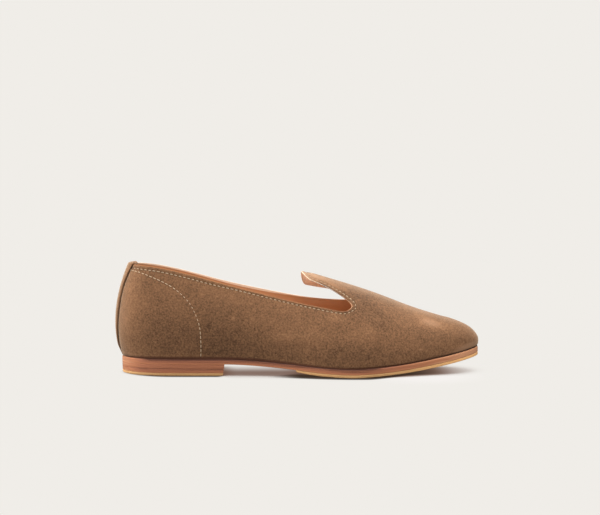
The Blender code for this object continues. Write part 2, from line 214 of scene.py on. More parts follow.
# Creases that a foot has left: a run from start to end, its reach to either side and its height in mm.
# A height below nought is a trough.
Fold = namedtuple("Fold", "start end reach height")
FOLDS = (
    Fold(Place(3.22, 0.150), Place(3.42, 0.240), 2.6, -0.40),
    Fold(Place(3.46, 0.150), Place(3.72, 0.280), 2.4, 0.35),
    Fold(Place(4.35, 0.120), Place(6.15, 0.225), 4.2, 0.50),
    Fold(Place(5.95, 0.350), Place(6.52, 0.440), 4.5, 0.45),
    Fold(Place(6.75, 0.260), Place(7.60, 0.340), 5.5, 0.45),
    Fold(Place(6.85, 0.490), Place(7.30, 0.580), 5.0, -0.45),
)

# Layers of the leather stack: level under the seat, reach up and down, both in mm, lighter or darker
Band = namedtuple("Band", "level reach tone")
STACK_BANDS = (
    Band(-3.6, 0.70, 0.50),
    Band(-4.45, 0.22, -0.45),
    Band(-5.6, 0.60, 0.12),
    Band(-7.5, 0.70, -0.42),
    Band(-9.9, 0.60, 0.15),
)

# Painted light on the sole towards the toe: place in mm, lighter by
TOE_PAINTED_LIGHT = ((50, 0.0), (73, 0.22), (88, 0.5), (103, 0.8), (113, 1.05), (122, 1.45), (140, 1.5))

# Where the suede is drawn lighter or darker, partly its own tone and scuffs and partly painted light and
# shade:
# painted highlights on the toe, the tab and the crest, painted shade low on the walls. Middle and reach in
# sections and shares up the rib
Patch = namedtuple("Patch", "section up reach_section reach_up tone")
NAP_AND_LIGHT_PATCHES = (
    Patch(0.85, 0.22, 0.55, 0.22, 0.26),
    Patch(3.90, 0.251, 0.06, 0.012, 0.50),
    Patch(8.55, 0.158, 0.05, 0.012, 0.50),
    Patch(3.4, 0.40, 1.0, 0.06, 0.15),
    Patch(3.8, 0.22, 0.7, 0.10, -0.08),
    Patch(3.8, 0.09, 0.9, 0.11, -0.26),
    Patch(2.1, 0.12, 0.7, 0.12, -0.13),
    Patch(5.0, 0.20, 0.7, 0.12, 0.06),
    Patch(6.5, 0.11, 0.7, 0.09, -0.26),
    Patch(7.05, 0.54, 0.5, 0.14, -0.26),
    Patch(1.59, 0.397, 0.25, 0.05, -0.14),
    Patch(2.85, 0.397, 0.30, 0.03, -0.14),
    Patch(3.32, 0.190, 0.09, 0.035, -0.16),
    Patch(4.35, 0.261, 0.22, 0.05, 0.09),
    Patch(5.3, 0.185, 0.75, 0.035, 0.10),
    Patch(5.1, 0.06, 0.8, 0.035, -0.10),
    Patch(6.27, 0.40, 0.28, 0.05, 0.13),
    Patch(7.12, 0.30, 0.4, 0.07, 0.07),
    Patch(7.75, 0.12, 0.6, 0.05, -0.10),
    Patch(9.85, 0.27, 0.15, 0.04, -0.14),
    Patch(2.74, 0.168, 0.15, 0.05, -0.10),
    Patch(2.13, 0.07, 0.25, 0.04, -0.10),
    Patch(6.8, 0.74, 0.5, 0.10, -0.20),
    Patch(6.36, 0.785, 0.28, 0.04, 0.22),
    Patch(7.5, 0.40, 0.5, 0.07, -0.08),
    Patch(7.6, 0.82, 0.45, 0.07, -0.09),
    Patch(8.3, 0.78, 0.45, 0.12, 0.12),
    Patch(8.95, 0.60, 0.50, 0.12, 0.41),
    Patch(9.6, 0.53, 0.45, 0.12, 0.10),
    Patch(10.45, 0.045, 0.85, 0.13, 0.66),
    Patch(10.7, 0.24, 0.45, 0.14, 0.22),
    Patch(5.7, 0.88, 0.5, 0.10, 0.44),
)

# Distant lamps: turned about X and Y, apparent width in degrees, strength
Lamp = namedtuple("Lamp", "name turn_x turn_y width strength")
LAMPS = (
    Lamp("top_light", 10, -8, 65, 5.2),
    Lamp("heel_light", 0, -82, 50, 2.8),
    Lamp("front_light", 62, 0, 90, 1.0),
    Lamp("back_light", -50, 15, 50, 2.0),
)
SURROUND_SHARE = 0.40  # light that the floor and surround throw on the shoe, of what the camera sees
SHADOW_DEPTH = (0.84, 0.935, 0.965)  # how much of the floor's red, green and blue a full shadow takes

# Picture and camera
PICTURE = (600, 515)
SENSOR = 36.0
AIM = (0.6, 0.0, 83.8)  # mm
CAMERA_YAW = -3.0
CAMERA_ROLL = 0.33
CAMERA_DISTANCE = 1100.0
CAMERA_HEIGHT = 150.0
FOCAL = 1.364 * CAMERA_DISTANCE  # in pixels


def length(name, description, millimetres):
    return bpy.props.FloatProperty(
        name=name, description=description, default=millimetres * MM, unit="LENGTH", precision=5
    )


def colour(name, description, red, green, blue):
    return bpy.props.FloatVectorProperty(
        name=name, description=description, default=(red, green, blue), subtype="COLOR", size=3, min=0, max=1
    )


class LoaferSizes(bpy.types.PropertyGroup):
    suede: length("Suede", "Thickness of the suede", 1.15)
    lining: length("Lining", "Thickness of the lining leather", 0.75)
    lining_rise: length("Lining rise", "How far the lining's cut edge stands above the suede's", 0.4)
    foot_round: length("Foot round", "Radius with which the suede turns in above the sole", 1.5)
    stitch_inset: length("Stitch inset", "Topline stitches from the cut edge", 2.7)
    stitch_pitch: length("Stitch pitch", "From one stitch to the next", 3.2)
    stitch_length: length("Stitch length", "Visible length of one stitch", 2.5)
    counter_stitch: length("Counter stitch", "Visible length of a stitch round the heel counter", 2.85)
    thread: length("Thread", "Width of the thread", 0.58)
    seam_depth: length("Seam depth", "How far a stitch row pulls the suede in", 0.28)
    groove_depth: length("Groove depth", "How far the suede sinks beside the back strip", 0.7)
    sole_round: length("Sole round", "Rounding of the outsole's edge", 0.7)
    lift_round: length("Lift round", "Rounding of the edges of the heel's layers", 0.18)


class LoaferColours(bpy.types.PropertyGroup):
    suede_light: colour("Suede, light", "Nap that lies towards the light", 0.270, 0.133, 0.0636)
    # Painted highlight on the toe and the tab, and the pale of small scuffs
    suede_pale: colour("Suede, pale", "Nap rubbed pale on the toe and the tab", 0.36, 0.21, 0.125)
    suede_dark: colour("Suede, dark", "Nap that lies away from the light", 0.067, 0.033, 0.0158)
    raw_edge: colour("Raw edge", "Cut edges of suede and lining", 0.37, 0.215, 0.122)
    lining: colour("Lining", "Vegetable tanned lining leather", 0.585, 0.31, 0.163)
    # Painted shade on the lining just inside the collar
    lining_worn: colour("Worn lining", "Lining darkened by hands inside the collar", 0.42, 0.185, 0.076)
    # Pale cut edge of the lining, drawn paler on the medial collar and the tab's end as painted highlight
    lining_edge: colour("Lining edge", "Pale cut edge of the lining", 0.80, 0.61, 0.44)
    # Painted light on the lining under the tab
    tab_lining: colour("Tab lining", "Paler lining under the tab", 0.95, 0.78, 0.64)
    thread: colour("Thread", "Stitches", 0.54, 0.395, 0.25)
    leather: colour("Sole leather", "Edge of the outsole and lifts", 0.31, 0.116, 0.061)
    leather_streak: colour("Leather streak", "Lighter layers in the stack", 0.41, 0.160, 0.076)
    # Painted light on the sole's ends, towards the toe and at the heel's back
    leather_pale: colour("Leather, pale", "Worn ends of the sole", 0.58, 0.275, 0.145)
    # Dark joints of the stack, and the colour of painted shade in the gap above the sole and under the
    # upper's overhang
    leather_dark: colour("Leather, dark", "Joints and burnish", 0.10, 0.035, 0.019)
    rubber: colour("Rubber", "Half sole and top piece", 0.49, 0.272, 0.112)
    floor: colour("Floor", "Studio floor", 0.3550, 0.3450, 0.3325)
    # Painted pool of light on the floor round the toe
    floor_bright: colour("Bright floor", "Floor that the sole's underside brightens", 0.922, 0.888, 0.865)
    # Painted contact shadow where the sole meets the floor
    contact: colour("Contact", "Darkest line where the sole meets the floor", 0.043, 0.027, 0.018)
    backdrop: colour("Backdrop", "Studio surround", 0.871, 0.847, 0.807)


def curve_through(knots, values):
    """Natural cubic spline: cubic pieces through the knots, whose first and second derivatives agree where
    they meet and whose second derivative is nought at both ends."""
    knots = np.asarray(knots, float)
    values = np.asarray(values, float)
    steps = np.diff(knots)
    count = len(knots)
    matrix = np.eye(count)
    right = np.zeros(count)
    for i in range(1, count - 1):
        matrix[i, i - 1 : i + 2] = steps[i - 1], 2 * (steps[i - 1] + steps[i]), steps[i]
        right[i] = 6 * ((values[i + 1] - values[i]) / steps[i] - (values[i] - values[i - 1]) / steps[i - 1])
    bend = np.linalg.solve(matrix, right)

    def at(places):
        places = np.asarray(places, float)
        i = np.clip(np.searchsorted(knots, places) - 1, 0, count - 2)
        after = knots[i + 1] - places
        before = places - knots[i]
        step = steps[i]
        return (
            (bend[i] * after**3 + bend[i + 1] * before**3) / (6 * step)
            + (values[i] / step - bend[i] * step / 6) * after
            + (values[i + 1] / step - bend[i + 1] * step / 6) * before
        )

    return at


def loop_curve(column, scale=1.0):
    """A column of LAST as a closed curve: out along the lateral sections, round the toe and back along the
    medial ones."""
    pair = [column] if column == "ridge" else ["lat_" + column, "med_" + column]
    lateral = [getattr(row, pair[0]) * scale for row in LAST]
    medial = [getattr(row, pair[-1]) * scale for row in LAST]
    loop = lateral + medial[-2:0:-1]
    turns = np.concatenate([loop, loop, loop])
    return curve_through(np.arange(len(turns)) - len(loop), turns)


FEATHER_X = loop_curve("x", LENGTH / 100)
FEATHER_Y = loop_curve("y", BALL_WIDTH / 100)
LEAN = loop_curve("lean", BALL_WIDTH / 100)
RISE = loop_curve("rise")
CROWN = loop_curve("crown")
RIDGE_STATION = loop_curve("ridge", LENGTH / 100)
RIDGE_ALONG = [row.along * LENGTH / 100 for row in RIDGE]
RIDGE_UP = curve_through(RIDGE_ALONG, [row.up * INSTEP_HEIGHT / 100 for row in RIDGE])
RIDGE_ACROSS = curve_through(RIDGE_ALONG, [row.across * BALL_WIDTH / 100 for row in RIDGE])


def ridge_height(x):
    """Height of the ridge, carried on straight past its front end."""
    end = LAST[TIP].ridge * LENGTH / 100
    slope = (RIDGE_UP(end) - RIDGE_UP(end - MM)) / MM
    return RIDGE_UP(np.minimum(x, end)) + slope * np.maximum(x - end, 0)


def seat_height(x):
    """Top of the sole: flat heel seat, a smooth step down to the tread, then the toe spring as a power."""
    fall = np.clip((x - SEAT_END_X) / (FALL_END_X - SEAT_END_X), 0, 1)
    spring = np.clip((x - SPRING_START_X) / (TOE_X - SPRING_START_X), 0, None)
    drop = (HEEL_SEAT - BALL_SEAT) * fall * fall * (3 - 2 * fall)
    return HEEL_SEAT - drop + TOE_SPRING * spring**SPRING_POWER


def folded(section):
    """Section counted from the heel on either side."""
    return np.minimum(np.mod(section, LOOP), LOOP - np.mod(section, LOOP))


def smooth(value, low, high):
    """Nought below low, one above high, a smooth step between."""
    share = np.clip((value - low) / (high - low), 0, 1)
    return share * share * (3 - 2 * share)


def bump_at(distance, reach):
    """Bell curve of the distance: one at nought, falling to 1/e at reach."""
    return np.exp(-((distance / reach) ** 2))


def last_point(section, up):
    """Outer face of the upper in two parameters: section counts round the loop, and up climbs a cubic Bezier
    rib from the feather line (0) to the ridge (1), whose inner control points are set by lean, rise and
    crown. The tab's end dips by a bell curve of the section."""
    dip = TAB_BEND * bump_at(folded(section) - TAB_TIP, TAB_BEND_REACH) * smooth(up, TAB_BEND_FROM, 1.0)
    section = np.mod(section, LOOP)
    foot_x = FEATHER_X(section)
    foot_y = FEATHER_Y(section)
    top_x = RIDGE_STATION(section)
    top_y = RIDGE_ACROSS(top_x)
    reach = np.hypot(foot_x - top_x, foot_y - top_y)
    down = 1 - up
    out = down**3 * reach + 3 * down**2 * up * (reach + LEAN(section))
    out = out + 3 * down * up**2 * CROWN(section) * reach
    x = top_x + (foot_x - top_x) / reach * out
    y = top_y + (foot_y - top_y) / reach * out
    depth = down**3 + 3 * down**2 * up * (1 - RISE(section))
    z = ridge_height(x) - depth * (ridge_height(foot_x) - seat_height(foot_x)) - dip
    return np.stack([x, y, z], -1) + SHIFT


def slopes(section, up):
    """Derivatives of the last along section and along up, by central differences."""
    step = 0.005
    along = (last_point(section + step, up) - last_point(section - step, up)) / (2 * step)
    rise = (last_point(section, up + step) - last_point(section, up - step)) / (2 * step)
    return along, rise


def unit(vectors):
    return vectors / np.linalg.norm(vectors, axis=-1, keepdims=True)


def dot(a, b):
    return np.sum(a * b, axis=-1)


def running_length(points):
    """Length of a line of points from its start to each of them."""
    return np.concatenate([[0], np.cumsum(np.linalg.norm(np.diff(points, axis=0), axis=1))])


def right_of(direction):
    """Plan directions turned a quarter to the right."""
    return np.stack([direction[:, 1], -direction[:, 0]], -1)


def on_side(section, side):
    """Section counted from the heel, as a place on this side of the loop."""
    return section if side == "lat" else LOOP - section


def moved(section, up, move):
    """The parameters after a small move in space: the least-squares solution of the two slopes for it."""
    along, rise = slopes(section, up)
    aa, bb, ab = dot(along, along), dot(rise, rise), dot(along, rise)
    av, bv = dot(along, move), dot(rise, move)
    spread = aa * bb - ab * ab
    return section + (bb * av - ab * bv) / spread, up + (aa * bv - ab * av) / spread


def tab_end(side, spread):
    """Section of the tab's end by share of the half width: a superellipse, turned a little to the medial
    side."""
    turn, power = TAB_END[side]
    corner = getattr(TOPLINE[-1], side + "_section")
    return corner - (corner - TAB_TIP - turn * spread) * (1 - spread**power) ** (1 / power)


def topline_run(side):
    """The cut edge of one side as fine runs of section and up, with the index that splits collar from tab."""
    section = [getattr(edge, side + "_section") for edge in TOPLINE]
    up = [getattr(edge, side + "_up") for edge in TOPLINE]
    order = np.arange(len(TOPLINE))
    fine = np.linspace(0, order[-1], 400)
    split = np.searchsorted(fine, THROAT_END)
    sections = np.minimum(curve_through(order, section)(fine), section[THROAT_END])
    ups = curve_through(order, up)(fine)
    return np.insert(sections, split, section[THROAT_END]), np.insert(ups, split, up[THROAT_END]), split


def topline(side):
    """The cut edge of one side as two functions of section: the collar, and the tab's edge above its slit."""
    sections, ups, split = topline_run(side)

    def collar(place):
        return np.interp(place, sections[: split + 1], ups[: split + 1])

    def tab(place):
        return np.interp(place, sections[split:][::-1], ups[split:][::-1])

    return collar, tab


EDGES = {side: topline(side) for side in SIDES}


def even_run(section, up, count):
    """The same line with even spaces: parameters read at equal steps of running length."""
    run = running_length(last_point(section, up))
    at = np.linspace(0, run[-1], count)
    return np.interp(at, run, section), np.interp(at, run, up)


Line = namedtuple("Line", "section up points normal inward")


def surface_line(section, up):
    """A line on the last with its normals, and the directions in the surface square to it, on its right."""
    points = last_point(section, up)
    along, rise = slopes(section, up)
    normal = unit(np.cross(along, rise))
    tangent = unit(np.gradient(points, axis=0))
    return Line(section, up, points, normal, unit(np.cross(tangent, normal)))


def cut_edge(count=900):
    """The whole cut edge from the back of the heel, along the lateral collar, round throat and tab, and back
    along the medial side."""
    halves = []
    spread = np.sin(np.linspace(1, 0, 160) * np.pi / 2)
    for side in SIDES:
        sections, ups, _ = topline_run(side)
        corner_up = getattr(TOPLINE[-1], side + "_up")
        section = np.concatenate([sections, tab_end(side, spread)[1:]])
        up = np.concatenate([ups, (1 - (1 - corner_up) * spread)[1:]])
        halves.append(even_run(on_side(section, side), up, count))
    (lat_section, lat_up), (med_section, med_up) = halves
    return surface_line(
        np.concatenate([lat_section, med_section[-2:0:-1]]), np.concatenate([lat_up, med_up[-2:0:-1]])
    )


CUT_EDGE = cut_edge()


def strip_edge(side, count=240):
    """Side edge of the back strip on the last, from the sole to the collar."""
    shares, halves = zip(*STRIP_HALF_WIDTH)
    share = np.linspace(0, 1, count)
    section = np.interp(share, shares, halves)
    up = share * EDGES[side][0](section)
    return surface_line(on_side(section, side), up)


def row_inset(sizes, section, up):
    """Distance of the topline stitches from the cut edge: closer along the front of the collar, by smooth
    steps of section and up."""
    front = smooth(folded(section), 3.2, 4.2) * (1 - smooth(up, 0.50, 0.56))
    return sizes.stitch_inset * (1 - FRONT_ROW_CLOSER * front)


def counter_line(side, count=240):
    """The heel counter's stitch row, a spline through its places."""
    order = np.arange(len(COUNTER_ROW))
    fine = np.linspace(0, order[-1], 200)
    section = curve_through(order, [place.section for place in COUNTER_ROW])(fine)
    up = curve_through(order, [place.up for place in COUNTER_ROW])(fine)
    section, up = even_run(section, up, count)
    return surface_line(on_side(section, side), up)


def nearest(points, line):
    """For every point, its distance to the nearest point of a line and that point's index."""
    index = np.empty(len(points), int)
    distance = np.empty(len(points))
    for start in range(0, len(points), 4000):
        part = points[start : start + 4000]
        square = (part**2).sum(1)[:, None] + (line**2).sum(1) - 2 * part @ line.T
        index[start : start + 4000] = square.argmin(1)
        distance[start : start + 4000] = np.sqrt(np.maximum(square.min(1), 0))
    return distance, index


def from_sides(points, line_on):
    """Distance of every point from the nearer of a line's two sides."""
    return np.minimum(*(nearest(points, line_on(side).points)[0] for side in SIDES))


def grid_faces(rows, columns, first=0, closed=False):
    """Quads of a grid whose vertices are stored row by row."""
    i, j = np.meshgrid(np.arange(rows - 1), np.arange(columns - (not closed)), indexing="ij")
    a = i * columns + j
    b = i * columns + (j + 1) % columns
    return first + np.stack([a, b, b + columns, a + columns], -1).reshape(-1, 4)


def joined(points, faces, *values):
    """Doubled points made one: points that agree to two microns share an index."""
    key = np.round(points / (0.002 * MM)).astype(np.int64)
    _, first, index = np.unique(key, axis=0, return_index=True, return_inverse=True)
    return points[first], index.reshape(-1)[faces], *(value[first] for value in values)


def vertex_normals(points, faces):
    """Sum, at each point, of the cross products of the diagonals of the quads round it, made unit length."""
    corner = points[faces]
    normal = np.cross(corner[:, 2] - corner[:, 0], corner[:, 3] - corner[:, 1])
    total = np.zeros_like(points)
    for k in range(4):
        np.add.at(total, faces[:, k], normal)
    return unit(total)


def walled(points, faces, normal, thickness):
    """A closed wall: the surface, its copy moved in by the thickness along the normals, and a rim of quads
    along the edges that only one face has. Returns points, faces and each face's material number: 1 on the
    rim, 0 elsewhere."""
    count = len(points)
    edges = np.concatenate([faces[:, [k, (k + 1) % 4]] for k in range(4)])
    key = np.sort(edges, axis=1) @ [count, 1]
    _, index, uses = np.unique(key, return_index=True, return_counts=True)
    rim = edges[index[uses == 1]]
    rim = np.stack([rim[:, 1], rim[:, 0], rim[:, 0] + count, rim[:, 1] + count], -1)
    made = np.concatenate([faces, faces[:, ::-1] + count, rim])
    inner = points - normal * np.broadcast_to(thickness, count)[:, None]
    return np.concatenate([points, inner]), made, np.arange(len(made)) >= 2 * len(faces)


def skived(thickness, from_edge):
    """Thickness of leather pared away towards its cut edge, by a bell curve of the distance."""
    return thickness * (1 - SKIVED_SHARE * bump_at(from_edge, SKIVED_REACH))


def both_ends(count):
    """Shares from 0 to 1, drawn together towards both ends like the cosine of an even turn."""
    turn = np.linspace(0, 1, count + 1)
    return 0.3 * turn + 0.7 * (1 - np.cos(np.pi * turn)) / 2


def shell_grid(density, margin=True):
    """The upper's surface as two grids: a ring of wall from the lasting margin up to the collar and the vamp
    line, and an arch over the foot from the tab's end to the toe, joined along the vamp line and at the toe's
    tip."""
    count = {name: max(4, round(number * density)) for name, number in SHELL_COUNTS.items()}
    slit_end = TOPLINE[THROAT_END].lat_section
    behind = np.concatenate(
        [
            np.linspace(0, 3.4, count["heel"], endpoint=False),
            np.linspace(3.4, TAB_TIP, count["quarter"], endpoint=False),
            TAB_TIP + (slit_end - TAB_TIP) * np.sin(np.linspace(0, np.pi / 2, count["slit"] + 1)),
        ]
    )
    front = np.linspace(slit_end, TIP, count["vamp"] + 1)[1:]

    def wall_top(side):
        blend = (front - slit_end) / (TIP - slit_end)
        end = getattr(TOPLINE[THROAT_END], side + "_up")
        return np.concatenate([EDGES[side][0](behind), end + (VAMP_LINE - end) * blend])

    stations = np.concatenate([behind, front])
    section = np.concatenate([stations, LOOP - stations[-2:0:-1]])
    top = np.concatenate([wall_top("lat"), wall_top("med")[-2:0:-1]])
    share = both_ends(count["wall"])[:, None]
    ring_section, ring_up = section + 0 * share, top * share
    ring = last_point(ring_section, ring_up)

    if margin:
        foot_x, foot_y = FEATHER_X(section % LOOP), FEATHER_Y(section % LOOP)
        in_x = RIDGE_STATION(section % LOOP) - foot_x
        in_y = RIDGE_ACROSS(RIDGE_STATION(section % LOOP)) - foot_y
        inset = np.array(LASTING_ROWS)[:, None] / np.hypot(in_x, in_y)
        x, y = foot_x + in_x * inset, foot_y + in_y * inset
        under = np.stack([x, y, seat_height(x)], -1) + SHIFT
        ring = np.concatenate([under, ring])
        ring_section = np.concatenate([section + 0 * inset, ring_section])
        ring_up = np.concatenate([np.zeros_like(x) - inset, ring_up])

    half_spread = np.clip(both_ends(2 * count["arch"])[count["arch"] :] * 2 - 1, 0, 1)
    arch_section, arch_up = [], []
    for side, half in (("lat", half_spread[::-1]), ("med", half_spread[1:])):
        corner = getattr(TOPLINE[-1], side + "_section")
        spread = half[:, None]
        end = tab_end(side, spread)
        toward = both_ends(count["slit"])
        tab = end + (slit_end - end) * toward
        edge_up = EDGES[side][1](np.maximum(tab, corner))
        places = np.concatenate([tab, front + 0 * spread], axis=1)
        tops = np.concatenate([edge_up, wall_top(side)[len(behind) :] + 0 * spread], axis=1)
        arch_section.append(on_side(places, side))
        arch_up.append(1 - (1 - tops) * spread)
    arch_section, arch_up = np.concatenate(arch_section), np.concatenate(arch_up)
    arch = last_point(arch_section, arch_up)

    faces = np.concatenate(
        [
            grid_faces(*ring.shape[:2], closed=True),
            grid_faces(*arch.shape[:2], first=ring.shape[0] * ring.shape[1]),
        ]
    )
    return joined(
        np.concatenate([ring.reshape(-1, 3), arch.reshape(-1, 3)]),
        faces,
        np.concatenate([ring_section.ravel(), arch_section.ravel()]),
        np.concatenate([ring_up.ravel(), arch_up.ravel()]),
    )


def sole_line(outset, start=None, stop=None, count=260):
    """Feather line moved out along its normals, as a run of evenly spaced points: the whole loop, or the part
    in front of start or behind stop, which a straight edge closes from the last point to the first."""
    begin = 0 if stop is None else -TIP
    section = np.linspace(begin, begin + LOOP, 2401)
    line = np.stack([FEATHER_X(section % LOOP), FEATHER_Y(section % LOOP)], -1)
    run = np.gradient(line, axis=0)
    run[[0, -1]] = line[1] - line[-2]
    run = unit(run)
    line = line + outset * right_of(run)
    if start is not None or stop is not None:
        cut = start if stop is None else stop
        kept = line[:, 0] >= cut if stop is None else line[:, 0] <= cut
        first, last = np.flatnonzero(kept)[[0, -1]]
        ends = []
        for inside, outside in ((first, first - 1), (last, last + 1)):
            share = (cut - line[inside, 0]) / (line[outside, 0] - line[inside, 0])
            ends.append(line[inside] + share * (line[outside] - line[inside]))
        line = np.concatenate([[ends[0]], line[first : last + 1], [ends[1]]])
    steps = running_length(line)
    closed = start is None and stop is None
    at = steps[-1] * ((np.arange(count) + 0.5) / count if closed else np.linspace(0, 1, count))
    return np.stack([np.interp(at, steps, line[:, 0]), np.interp(at, steps, line[:, 1])], -1)


def rounded(thickness, top_round, low_round, steps=5):
    """Profile of a layer's edge, top to bottom: inset and share of the way down, a quarter circle at each
    corner and a narrow flat rim inside it."""
    turn = np.linspace(0, np.pi / 2, steps + 1)
    upper = np.stack([top_round * (1 - np.sin(turn)), top_round * (1 - np.cos(turn)) / thickness], -1)
    lower = np.stack([low_round * (1 - np.cos(turn)), 1 - low_round * (1 - np.sin(turn)) / thickness], -1)
    rim = 0.25 * MM
    return np.concatenate([[[top_round + rim, 0]], upper, lower, [[low_round + rim, 1]]])


def layer(line, profile, top, bottom, taper=None):
    """A closed slab: the profile's insets and heights carried round the outline, its loops joined by quads,
    and both faces closed by quads from one side of the outline to the other. An inset moves each point along
    the mitre of the two lines that meet there, which is the sum of their normals over one plus their dot
    product."""
    after = right_of(unit(np.roll(line, -1, axis=0) - line))
    before = np.roll(after, 1, axis=0)
    outward = (after + before) / (1 + dot(after, before))[:, None]
    place = line - profile[:, 0, None, None] * outward
    high, low = top(line[:, 0]), bottom(line[:, 0])
    z = high + (low - high) * profile[:, 1, None]
    if taper is not None:
        scale = taper(z)[..., None]
        centre = np.array([HEEL_CENTRE_X, 0])
        place = centre + (place - centre) * scale
    points = np.concatenate([place, z[..., None]], -1) + SHIFT
    loops, count = points.shape[:2]
    sides = grid_faces(loops, count, closed=True)
    i = np.arange(count // 2 - 1)
    cap = np.stack([i, i + 1, count - 2 - i, count - 1 - i], -1)
    faces = np.concatenate([sides[:, ::-1], cap, (cap + (loops - 1) * count)[:, ::-1]])
    return points.reshape(-1, 3), faces


class Value:
    """A socket of a node tree that takes part in Python sums: each operator adds the Math node for it."""

    def __init__(self, tree, socket=None):
        self.tree = tree
        self.socket = socket

    def node(self, kind, settings=None, sockets=None, out=0):
        """Adds a node of this type: first its settings, then values or links for its sockets."""
        made = self.tree.nodes.new("ShaderNode" + kind)
        for key, value in (settings or {}).items():
            setattr(made, key, value)
        for key, value in (sockets or {}).items():
            if isinstance(value, Value):
                self.tree.links.new(value.socket, made.inputs[key])
            else:
                made.inputs[key].default_value = value
        return Value(self.tree, made.outputs[out])

    def math(self, operation, *values):
        return self.node("Math", {"operation": operation}, dict(enumerate(values)))

    def __add__(self, other):
        return self.math("ADD", self, other)

    def __radd__(self, other):
        return self.math("ADD", other, self)

    def __sub__(self, other):
        return self.math("SUBTRACT", self, other)

    def __rsub__(self, other):
        return self.math("SUBTRACT", other, self)

    def __mul__(self, other):
        return self.math("MULTIPLY", self, other)

    def __rmul__(self, other):
        return self.math("MULTIPLY", other, self)

    def __pow__(self, other):
        return self.math("POWER", self, other)

    def __rpow__(self, other):
        return self.math("POWER", other, self)

    def clamp(self):
        return self.node("Clamp", None, {0: self})

    def between(self, low, high):
        """Nought below low, one above high, a smooth step between."""
        return self.node("MapRange", {"interpolation_type": "SMOOTHSTEP"}, {0: self, 1: low, 2: high})

    def mix(self, first, second):
        """Colour first where this value is nought, second where it is one."""
        return self.node("Mix", {"data_type": "RGBA"}, {0: self, 6: first, 7: second}, out=2)


class Look:
    """A material with a Principled surface, its Object coordinates and its attributes as Values."""

    def __init__(self, name, **constants):
        self.material = bpy.data.materials.new(name)
        self.material.use_nodes = True
        tree = self.material.node_tree
        self.surface = tree.nodes["Principled BSDF"]
        for key, value in constants.items():
            self.surface.inputs[key.replace("_", " ")].default_value = value
        self.start = Value(tree)
        self.place = self.start.node("TexCoord", out="Object")

    def attribute(self, name):
        return self.start.node("Attribute", {"attribute_name": name}, out="Fac")

    def noise(self, scale, detail=2.0, roughness=0.5, stretch=None):
        """Noise with scale features to the metre, its middle at one half. Stretch multiplies the axes."""
        place = self.place
        if stretch is not None:
            place = place.node("Mapping", None, {"Vector": place, "Scale": stretch})
        sockets = {"Vector": place, "Scale": scale, "Detail": detail, "Roughness": roughness}
        return self.start.node("TexNoise", None, sockets)

    def link(self, **sockets):
        for key, value in sockets.items():
            self.start.tree.links.new(value.socket, self.surface.inputs[key.replace("_", " ")])

    def bump(self, height, distance, strength=1.0):
        sockets = {"Height": height, "Distance": distance, "Strength": strength}
        self.link(Normal=self.start.node("Bump", None, sockets))


def rgba(value):
    return (*value, 1.0)


def suede_look(colours):
    """Brushed suede: cloudy tone, speckled grain and short fibres, with painted shade along the stitch rows,
    in the groove beside the back strip and in the gap above the sole.
    """
    look = Look("suede", Roughness=0.95, Sheen_Weight=0.55, Sheen_Roughness=0.35, Specular_IOR_Level=0.2)
    look.surface.inputs["Sheen Tint"].default_value = (1.0, 0.80, 0.58, 1.0)
    cloud = look.noise(38, 3)
    mottle = look.noise(210, 2, 0.6)
    grain = look.noise(800, 2, 0.65)
    fibre = look.noise(2300, 2, 0.6)
    tone = 0.5 + (cloud - 0.5) * 0.35 + (mottle - 0.5) * 0.4 + (grain - 0.5) * 1.55 + (fibre - 0.5) * 0.6
    # Lighter and darker places from the patches: partly the suede's own tone and scuffs, partly painted
    # highlights and painted shade
    nap = look.attribute("nap")
    base = (tone + nap).clamp().mix(rgba(colours.suede_dark), rgba(colours.suede_light))
    # Paler where the patches are lightest: painted highlight on the toe and the tab, and pale scuffs
    base = (nap.between(0.15, 0.55) * 0.5).mix(base, rgba(colours.suede_pale))
    # Painted shade along the stitch rows and in the groove beside the back strip
    shade = (look.attribute("seam") * 0.35).clamp()
    base = shade.mix(base, rgba(0.35 * c for c in colours.suede_dark))
    # Painted shade in the gap where the upper meets the sole
    hollow = look.attribute("hollow").clamp()
    base = hollow.mix(base, rgba(0.7 * c for c in colours.leather_dark))
    look.link(Base_Color=base)
    look.bump(grain * 0.6 + fibre * 0.4 + mottle * 0.3, 0.35 * MM, 0.6)
    return look.material


def raw_edge_look(colours):
    """Cut edge of the hide, pale and fibrous; paler on the medial collar and the tab's end, partly painted
    highlight, and brown along the tab's lateral side.
    """
    look = Look("raw_edge", Roughness=0.9, Specular_IOR_Level=0.2)
    fibre = look.noise(1500, 2, 0.6)
    base = fibre.mix(rgba(0.7 * c for c in colours.raw_edge), rgba(colours.raw_edge))
    base = look.attribute("cream").mix(base, rgba(colours.lining_edge))
    look.link(Base_Color=look.attribute("turned").mix(base, rgba(colours.suede_dark)))
    look.bump(fibre, 0.2 * MM, 0.5)
    return look.material


def lining_look(colours):
    """Smooth tan lining leather with fine pores, pale along its cut edge, partly painted highlight; painted
    light under the tab and painted shade just inside the collar.
    """
    look = Look("lining", Roughness=0.6, Specular_IOR_Level=0.35)
    pore = look.noise(1400, 2, 0.55)
    cloud = look.noise(60, 3)
    tone = (0.5 + (cloud - 0.5) * 0.7 + (pore - 0.5) * 0.4).clamp()
    base = tone.mix(rgba(0.85 * c for c in colours.lining), rgba(min(1.15 * c, 1) for c in colours.lining))
    # Painted light on the lining under the tab
    base = look.attribute("pale").mix(base, rgba(colours.tab_lining))
    # Painted shade on the lining just inside the collar
    base = look.attribute("worn").mix(base, rgba(colours.lining_worn))
    # Pale rim: partly the cut leather, partly painted highlight
    edge = look.attribute("edge").clamp() * look.attribute("cream")
    look.link(Base_Color=edge.mix(base, rgba(colours.lining_edge)))
    look.bump(pore, 0.1 * MM, 0.4)
    return look.material


